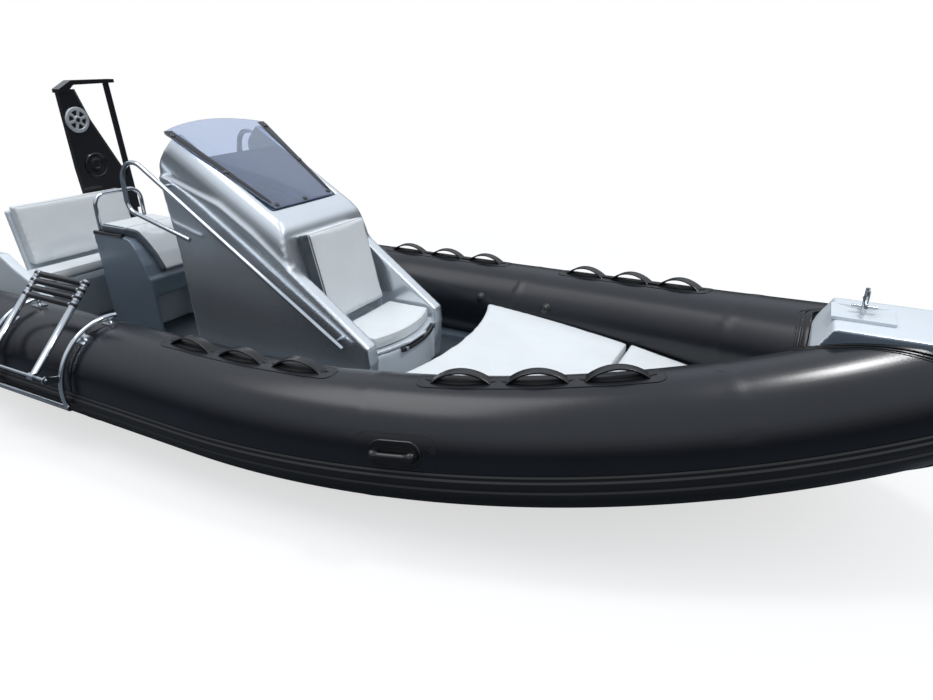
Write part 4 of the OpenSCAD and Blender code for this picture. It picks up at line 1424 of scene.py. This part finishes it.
@dataclass
class Mouldings:
    """The mouldings and the rigid fittings, and the CAD nodes that only take a finish."""

    seat_half: float = 0.294
    seat_aft: float = 2.475
    seat_top: float = 0.36
    bench_half: float = 0.556
    bench_top: float = 0.428
    recess_half: float = 0.19
    recess_top: float = 0.37
    recess_x: tuple[float, float] = (0.88, 1.085)
    plate_x: float = 4.96
    plate_half: tuple[float, float] = (0.1, 0.08)
    plate_top: float = 0.861
    kept: tuple[tuple[str, Finish], ...] = (
        ("hull", DARK_GELCOAT_AND_SHADE),
        ("sole", DECK_TREAD),
        ("transom", DARK_GELCOAT_AND_SHADE),
        ("throttle", STAINLESS),
    )

    def build(self) -> None:
        """Gives the kept nodes their finishes, and builds the fittings and mouldings."""
        for node, finish in self.kept:
            for slot in NODES[node].material_slots:
                slot.material = finish.material()
        for piece in (*self.fittings(), *self.mouldings()):
            piece.build()

    def fittings(self) -> tuple[Fitting, ...]:
        """Lists the fittings. The plate below the bow post is painted like the nose it stands on.

        Returns:
            The fittings, in the order of building.
        """
        return (
            Fitting("bow_post", second=WHITE_GELCOAT, choice=self.post_plate),
            Fitting("dash", DASH_VINYL, slot="gelcoat", edge=0.004),
            Fitting("rail_starboard"),
            Fitting("rail_port"),
            Fitting("helm_hoop"),
            Fitting("mast", MAST_LACQUER, slot="black_plastic", edge=0.005),
            Fitting("steering_wheel", BLACK_ABS, "steering", "black_plastic"),
            Fitting("ladder_frame"),
            Fitting("ladder_stiles", body="stiles"),
            Fitting("ladder_upper", body="upper"),
            Fitting("ladder_middle", body="middle"),
            Fitting("ladder_lower", body="lower"),
            Fitting("lifting_eyes"),
        )

    def mouldings(self) -> tuple[Moulding, ...]:
        """Lists the mouldings, with the faces that have a second colour.

        Returns:
            The mouldings, in the order of building.
        """
        return (
            Moulding("console", METALLIC_GELCOAT, second=PALE_GELCOAT, choice=self.seat_box, voxel=0.009, rounds=18),
            Moulding("helm_pod", DARK_GELCOAT_AND_SHADE, second=PALE_GELCOAT, choice=self.knee_recess),
            Moulding("bench_base", WHITE_GELCOAT, second=GREY_GELCOAT, choice=self.bench_front, voxel=0.008),
            Moulding("bench_panel", WHITE_GELCOAT),
            Moulding("front_lid", PALE_GELCOAT, "front_seat", voxel=0.005, rounds=4),
            # The nose is one white moulding; its flanks are dark as painted shade.
            Moulding("bow_nose", WHITE_GELCOAT, second=DARK_GELCOAT_AND_SHADE, choice=self.nose_shaded_flanks),
            Moulding("bow_locker", PALE_GELCOAT, voxel=0.01),
        )

    def seat_box(self, middle: Array, normal: Array) -> Array:
        """Picks the front and top of the seat box between the console's wings."""
        between = np.abs(middle[:, 1]) < self.seat_half
        return between & (middle[:, 0] > self.seat_aft) & (middle[:, 2] < self.seat_top)

    def bench_front(self, middle: Array, normal: Array) -> Array:
        """Picks the front of the bench's base between its arms."""
        between = np.abs(middle[:, 1]) < self.bench_half
        return between & (normal[:, 0] > 0.5) & (middle[:, 2] < self.bench_top)

    def knee_recess(self, middle: Array, normal: Array) -> Array:
        """Picks the walls of the pod's knee recess.

        Args:
            middle: Middles of the faces.
            normal: Normals of the faces.

        Returns:
            Whether each face is picked.
        """
        inside = (np.abs(middle[:, 1]) < self.recess_half) & (middle[:, 2] < self.recess_top)
        aft, fore = self.recess_x
        return inside & (middle[:, 0] > aft) & (normal[:, 0] > -0.9) & (middle[:, 0] < fore)

    def post_plate(self, middle: Array, normal: Array) -> Array:
        """Picks the top and the rim of the plate below the bow post.

        Args:
            middle: Middles of the faces.
            normal: Normals of the faces.

        Returns:
            Whether each face is picked.
        """
        long, wide = self.plate_half
        rim = (np.abs(middle[:, 0] - self.plate_x) > long) | (np.abs(middle[:, 1]) > wide)
        return (middle[:, 2] < self.plate_top) & (rim | (np.abs(normal[:, 2]) > 0.9))

    def nose_shaded_flanks(self, middle: Array, normal: Array) -> Array:
        """Picks the nose's flanks, which take the dark finish as painted shade."""
        return np.abs(normal[:, 1]) > 0.6


@dataclass
class Screen:
    """The windscreen: a smoked sheet with a printed border at both sides and dome screws.

    A place on it is counted up the slope from its lower edge, across to port, and out of its plane.
    """

    low: tuple[float, float] = (2.228, 1.048)
    high: tuple[float, float] = (1.62, 1.42)
    low_half: float = 0.245
    high_half: float = 0.375
    bow: float = 0.06
    shoulder: float = 0.035
    corner_round: float = 0.03
    edge_round: float = 0.0015
    thick: float = 0.006
    border_span: tuple[float, float] = (0.06, 0.985)
    border_margin: float = 0.004
    border_low: float = 0.03
    border_high: float = 0.058
    border_lift: float = 0.0002
    border_top: float = 0.001
    border_edge: float = 0.0003
    screws: Profile = (
        (0.022, -0.214), (0.018, 0.004), (0.03, 0.222), (0.324, -0.288), (0.324, 0.288), (0.66, -0.344), (0.66, 0.344),
    )
    screw_dome: Profile = ((0.014, -0.002), (0.014, 0.002), (0.011, 0.0055), (0.006, 0.008), (0.0008, 0.0086))

    @property
    def run(self) -> float:
        """Length of the slope from the lower to the upper corners."""
        return math.dist(self.low, self.high)

    @property
    def up(self) -> Array:
        """Unit vector up the slope, in x and z."""
        return (np.array(self.high) - self.low) / self.run

    def on(self, places: Array) -> Array:
        """Turns places on the screen, shape (..., 3), into points of the boat.

        Args:
            places: Places up the slope, across and out of the plane.

        Returns:
            Points of the boat.
        """
        up = self.up
        x = self.low[0] + places[..., 0] * up[0] + places[..., 2] * up[1]
        z = self.low[1] + places[..., 0] * up[1] - places[..., 2] * up[0]
        return np.stack([x, places[..., 1], z], axis=-1)

    def half(self, along: float) -> float:
        """Gives half the screen's width at a place up the slope."""
        return self.low_half + (self.high_half - self.low_half) * along / self.run

    def build(self) -> None:
        """Builds the sheet, its border and its screws."""
        top = FIT + self.thick
        sheet = slab(rounded(self.corners(), self.corner_round, 5), FIT, top, self.edge_round)
        skin = Shell("smoked_sheet").grid(self.on(sheet)).build(SMOKED_ACRYLIC, 40)
        place(skin, BOAT, "smoked_screen", "windscreen")
        border = Shell("screen_border")
        first, last = (share * self.run for share in self.border_span)
        for sign in (-1.0, 1.0):
            band = [
                [first, sign * (self.half(first) - self.border_margin)],
                [last, sign * (self.half(last) - self.border_margin)],
                [last, sign * (self.half(last) - self.border_high)],
                [first, sign * (self.half(first) - self.border_low)],
            ]
            outline = resampled(rounded(band, self.edge_round, 4), 80)
            border.grid(self.on(slab(outline, top + self.border_lift, top + self.border_top, self.border_edge)))
        screws = Shell("screen_screws")
        out = (self.up[1], 0.0, -self.up[0])
        for along, y in self.screws:
            screws.grid(lathe(self.screw_dome, self.on(np.array([along, y, top + self.border_top])), out, 20))
        place(border.build(BORDER_PRINT), BOAT, "black_plastic")
        place(screws.build(BLACK_ABS), BOAT, "black_plastic")

    def corners(self) -> Array:
        """Gives the sheet's corners up the slope and across, with a parabola for the bow of its upper edge.

        Returns:
            Corners, shape (n, 2).
        """
        t = np.linspace(-1, 1, 13)
        flat = self.high_half - self.shoulder
        head = np.stack([self.run + self.bow * (1 - t**2), -flat * t], axis=1)
        low, high = self.low_half, self.high_half
        end = self.run - 0.5 * self.shoulder
        return np.concatenate([[[0, -low], [0, low], [end, high]], head, [[end, -high]]])


@dataclass
class Speakers:
    """The two speakers on the mast: an open silver grille above, a closed black one below.

    Profiles are pairs of radius and height above the mast's face.
    """

    upper: tuple[float, float] = (0.251, 1.3787)
    lower: tuple[float, float] = (0.325, 1.0598)
    rim: Profile = ((0.062, 0.002), (0.062, 0.01), (0.065, 0.013), (0.082, 0.012), (0.087, 0.008), (0.087, 0.0002))
    hub: Profile = ((0.03, 0.003), (0.03, 0.011), (0.026, 0.013), (0.014, 0.0135), (0.001, 0.0135))
    hub_cap: Profile = ((0.0145, 0.0125), (0.0145, 0.0142), (0.011, 0.015), (0.001, 0.0152))
    dish: Profile = ((0.063, 0.0002), (0.063, 0.004), (0.03, 0.0022), (0.001, 0.0018))
    cover: Profile = (
        (0.088, 0.0002), (0.088, 0.007), (0.083, 0.01), (0.076, 0.0105), (0.072, 0.007), (0.05, 0.0065),
        (0.046, 0.009), (0.022, 0.0095), (0.018, 0.006), (0.001, 0.006),
    )
    stud: Profile = ((0.011, 0.0052), (0.011, 0.0085), (0.009, 0.009), (0.008, 0.0072), (0.001, 0.0068))
    stud_ring: float = 0.061
    stud_count: int = 3
    stud_turn: float = 0.5
    spoke_plan: Profile = ((0.025, -0.009), (0.066, -0.011), (0.066, 0.011), (0.025, 0.009))
    spoke_heights: tuple[float, float] = (0.003, 0.0115)
    spoke_round: float = 0.002
    spoke_count: int = 6
    spoke_turn: float = 0.26

    def build(self) -> None:
        """Builds the grilles and the dark dish behind the open one."""
        axis = (1.0, 0.0, 0.0)
        seat = np.array([0.0, *self.upper])
        rim = lathe(self.rim, seat, axis, 64)
        silver = Shell("speaker_grille").grid(np.concatenate([rim, rim[:1]]), caps=False)
        silver.grid(lathe(self.hub, seat, axis, 40))
        plan = resampled(rounded(self.spoke_plan, self.spoke_round, 4), 40)
        bar = slab(plan, *self.spoke_heights, self.spoke_round)
        for turn in np.arange(self.spoke_count) * 2 * np.pi / self.spoke_count + self.spoke_turn:
            y = bar[..., 0] * np.cos(turn) - bar[..., 1] * np.sin(turn)
            z = bar[..., 0] * np.sin(turn) + bar[..., 1] * np.cos(turn)
            silver.grid(seat + np.stack([bar[..., 2], y, z], axis=-1))
        place(silver.build(SILVER_TRIM), BOAT, "speaker_trim", "speakers")
        black = Shell("speaker_black")
        black.grid(lathe(self.dish, seat, axis, 48))
        black.grid(lathe(self.hub_cap, seat, axis, 32))
        black.grid(lathe(self.cover, (0.0, *self.lower), axis, 64))
        y, z = self.lower
        for turn in np.arange(self.stud_count) * 2 * np.pi / self.stud_count + self.stud_turn:
            spot = (0.0, y + self.stud_ring * math.cos(turn), z + self.stud_ring * math.sin(turn))
            black.grid(lathe(self.stud, spot, axis, 24))
        place(black.build(BLACK_ABS), BOAT, "black_plastic")


@dataclass
class LadderSleeves:
    """Black grooved sleeves on the ladder's rungs, and black bands on its telescopic collars."""

    pivot: Point = (1.4, -1.2997, 0.3917)
    up: Point = (0.0, math.sqrt(0.5), math.sqrt(0.5))
    stile_len: float = 0.4
    pitch: float = 0.04
    collar: float = 0.034
    half_width: float = 0.19
    sleeve_half: float = 0.165
    sleeve_radius: float = 0.0158
    sleeve_end: float = 0.0143
    groove: float = 0.0012
    rings: int = 67
    band: Profile = ((0.0174, 0.0), (0.0186, 0.0015), (0.0186, 0.0125), (0.0174, 0.014))
    band_back: float = 0.024
    bodies: tuple[str, ...] = ("stiles", "upper", "middle", "lower")

    def build(self) -> None:
        """Builds one sleeve and one pair of bands per section. Every third ring of a sleeve is a groove."""
        up = np.array(self.up)
        run = np.linspace(-self.sleeve_half, self.sleeve_half, self.rings)
        radius = self.sleeve_radius - self.groove * (np.arange(self.rings) % 3 == 0)
        radius[[0, -1]] = self.sleeve_end
        profile = np.stack([radius, run], axis=1)
        for i, body in enumerate(self.bodies):
            end = self.stile_len + i * self.pitch
            spot = np.array(self.pivot) + up * (end - self.collar / 2)
            shell = Shell("rung_sleeve_" + body).grid(lathe(profile, spot, (1, 0, 0), 24))
            for side in (-1, 1):
                foot = np.array(self.pivot) + up * (end - self.band_back) + np.array([side * self.half_width, 0, 0])
                band = lathe(self.band, foot, up, 28)
                shell.grid(np.concatenate([band, band[:1]]), caps=False)
            place(shell.build(BLACK_ABS), body, "rubber")


@dataclass
class Trims:
    """Small trims: the pod's black edging, the front seat's latch strip and the bow post's cross pin."""

    half: float = 0.012
    corner: float = 0.005
    pod_x: tuple[float, float] = (0.612, 0.884)
    pod_half: float = 0.202
    pod_top: float = 0.741
    seat_tip: float = 2.91
    seat_bow_radius: float = 0.6566
    latch_turn: tuple[float, float] = (-0.2, 0.42)
    latch_out: float = 0.006
    latch_height: float = 0.336
    catch_out: float = 0.004
    catch_scale: float = 1.15
    pin: Profile = ((0.004, -0.045), (0.006, -0.043), (0.006, 0.043), (0.004, 0.045))
    pin_middle: Point = (4.96, 0.0, 0.882)

    def build(self) -> None:
        """Builds the trims: a square section with rounded corners carried along each path, and a turned pin."""
        section = oblong(self.half, self.half, self.corner, 4)
        edging = Shell("pod_edging")
        x = np.linspace(*self.pod_x, 12)
        for side in Side:
            path = np.stack(np.broadcast_arrays(x, side.value * self.pod_half, self.pod_top), axis=1)
            edging.grid(sweep(path, section))
        place(edging.build(BLACK_ABS), BOAT, "black_plastic")
        turn = np.linspace(*self.latch_turn, 24)
        x = self.seat_tip - self.seat_bow_radius * (1 - np.cos(turn)) + self.latch_out
        y = self.seat_bow_radius * np.sin(turn)
        arc = np.stack(np.broadcast_arrays(x, y, self.latch_height), axis=1)
        strip = Shell("seat_latch_strip").grid(sweep(arc, section))
        place(strip.build(BLACK_ABS), BOAT, "black_plastic")
        catch = Shell("seat_catches")
        for at in (1, -2):
            path = arc[[at, at + 1]] + np.array([self.catch_out, 0, 0])
            catch.grid(sweep(path, section * self.catch_scale))
        place(catch.build(STAINLESS), BOAT, "stainless")
        pin = lathe(self.pin, self.pin_middle, (1, 0, 0), 20)
        place(Shell("post_pin").grid(pin).build(STAINLESS), BOAT, "stainless")


# ---------------------------------------------------------------- studio


@dataclass(frozen=True)
class Lamp:
    """A square soft light that looks at a point."""

    name: str
    where: Point
    target: Point
    size: float
    power: float

    def build(self) -> None:
        """Adds the light to the scene."""
        data = bpy.data.lights.new(self.name, "AREA")
        data.size = self.size
        data.energy = self.power
        lamp = bpy.data.objects.new(self.name, data)
        lamp.location = self.where
        lamp.rotation_euler = (Vector(self.target) - Vector(self.where)).to_track_quat("-Z", "Y").to_euler()
        bpy.context.scene.collection.objects.link(lamp)


@dataclass
class Studio:
    """Pale floor, soft lights and the camera at the photograph's view."""

    eye: Point = (4.684, -2.835, 1.75)
    azimuth: float = math.radians(27.25)
    pitch: float = math.radians(23.7)
    focal_px: float = 655.0
    width_px: float = 933.0
    sensor: float = 36.0
    floor_half: float = 90.0
    shadow_middle: Point = (2.6, 0.0, 0.0)
    shadow_fade: tuple[float, float] = (1.5, 4.5)
    floor_glow: tuple[float, float] = (0.65, 1.0)
    zenith: float = 1.0
    zenith_rise: float = 0.62
    horizon: float = 0.05
    lamps: tuple[Lamp, ...] = (
        Lamp("overhead", (0.9, -1.2, 6.0), (1.1, 0.0, 0.3), 4.0, 150.0),
        Lamp("sun", (5.85, 1.45, 5.35), (4.2, -0.2, 0.6), 0.9, 112.0),
    )

    def build(self) -> None:
        """Builds the camera, floor, world and lights."""
        scene = bpy.context.scene
        scene.view_settings.view_transform = "Standard"
        self.camera(scene)
        self.floor(scene)
        self.world(scene)
        for lamp in self.lamps:
            lamp.build()

    def camera(self, scene: bpy.types.Scene) -> None:
        """Sets the camera by the photograph's viewing direction and focal length.

        Args:
            scene: Scene that takes the camera.
        """
        data = bpy.data.cameras.new("photo_view")
        data.sensor_width = self.sensor
        data.lens = self.focal_px / self.width_px * self.sensor
        camera = bpy.data.objects.new("photo_view", data)
        camera.location = self.eye
        level = math.cos(self.pitch)
        way = Vector((-math.sin(self.azimuth) * level, math.cos(self.azimuth) * level, -math.sin(self.pitch)))
        camera.rotation_euler = way.to_track_quat("-Z", "Y").to_euler()
        scene.collection.objects.link(camera)
        scene.camera = camera

    @staticmethod
    def seen_rays(tree: bpy.types.NodeTree) -> Any:
        """Gives a socket that is 1 for camera and transmission rays.

        Args:
            tree: Node tree of a material or of the world.

        Returns:
            The socket.
        """
        path = add(tree, "LightPath")
        rays = {0: path.outputs["Is Camera Ray"], 1: path.outputs["Is Transmission Ray"]}
        return add(tree, "Math", rays, operation="MAXIMUM").outputs[0]

    def floor(self, scene: bpy.types.Scene) -> None:
        """Builds the wide floor at the waterline.

        Args:
            scene: Scene that takes the floor.
        """
        half = self.floor_half
        corners = [[-half, -half, 0.0], [half, -half, 0.0], [half, half, 0.0], [-half, half, 0.0]]
        mesh = bpy.data.meshes.new("studio_floor")
        mesh.from_pydata(corners, [], [[0, 1, 2, 3]])
        mesh.materials.append(self.floor_paint())
        floor = bpy.data.objects.new("studio_floor", mesh)
        scene.collection.objects.link(floor)

    def floor_paint(self) -> bpy.types.Material:
        """Makes the floor's material: white where it is seen, with the boat's shadow, and darker as a bounce.

        Away from the boat the seen floor turns to plain white, so that it meets the sky unseen.

        Returns:
            The material.
        """
        paint = bpy.data.materials.new("white_studio_floor")
        paint.use_nodes = True
        tree = paint.node_tree
        tree.nodes.clear()
        where = add(tree, "TexCoord").outputs["Object"]
        away = add(tree, "VectorMath", {0: where, 1: self.shadow_middle}, operation="DISTANCE")
        span = dict(zip(("From Min", "From Max", "To Min", "To Max"), self.shadow_fade + self.floor_glow))
        fade = {"Value": away.outputs["Value"]} | span
        share = add(tree, "MapRange", fade, interpolation_type="SMOOTHSTEP")
        matt = add(tree, "BsdfDiffuse", {"Color": linear("#f4f5f6")})
        glow = add(tree, "Emission", {"Color": (1, 1, 1, 1), "Strength": 1.0})
        seen = add(tree, "MixShader", {0: share.outputs["Result"], 1: matt.outputs[0], 2: glow.outputs[0]})
        bounce = add(tree, "BsdfDiffuse", {"Color": linear("#666b70")})
        both = add(tree, "MixShader", {0: self.seen_rays(tree), 1: bounce.outputs[0], 2: seen.outputs[0]})
        add(tree, "OutputMaterial", {"Surface": both.outputs[0]})
        return paint

    def world(self, scene: bpy.types.Scene) -> None:
        """Sets a sky that is white where it is seen, and lights brightly from above and dimly from the sides.

        Args:
            scene: Scene that takes the world.
        """
        world = bpy.data.worlds.new("studio")
        world.use_nodes = True
        tree = world.node_tree
        tree.nodes.clear()
        height = add(tree, "SeparateXYZ", {0: add(tree, "TexCoord").outputs["Object"]}).outputs["Z"]
        sky = {"Value": height, "From Max": self.zenith_rise, "To Min": self.horizon, "To Max": self.zenith}
        light = add(tree, "MapRange", sky, interpolation_type="SMOOTHSTEP")
        seen = self.seen_rays(tree)
        tint = add(tree, "Mix", {0: seen, 6: linear("#eaf0f9"), 7: (1, 1, 1, 1)}, data_type="RGBA")
        strength = add(tree, "MapRange", {"Value": seen, "To Min": light.outputs["Result"], "To Max": 1.0})
        back = add(tree, "Background", {"Color": tint.outputs[2], "Strength": strength.outputs["Result"]})
        add(tree, "OutputWorld", {"Surface": back.outputs[0]})
        scene.world = world


def main() -> None:
    """Builds the studio and every piece."""
    logging.basicConfig(level=logging.INFO, format="%(name)s: %(message)s")
    for part in (
        Studio(),
        Tubes(),
        CarryHandles(),
        Valves(),
        Mouldings(),
        Screen(),
        Speakers(),
        LadderSleeves(),
        Trims(),
        Upholstery(),
    ):
        LOG.info("building %s", type(part).__name__)
        part.build()


if __name__ == "__main__":
    main()
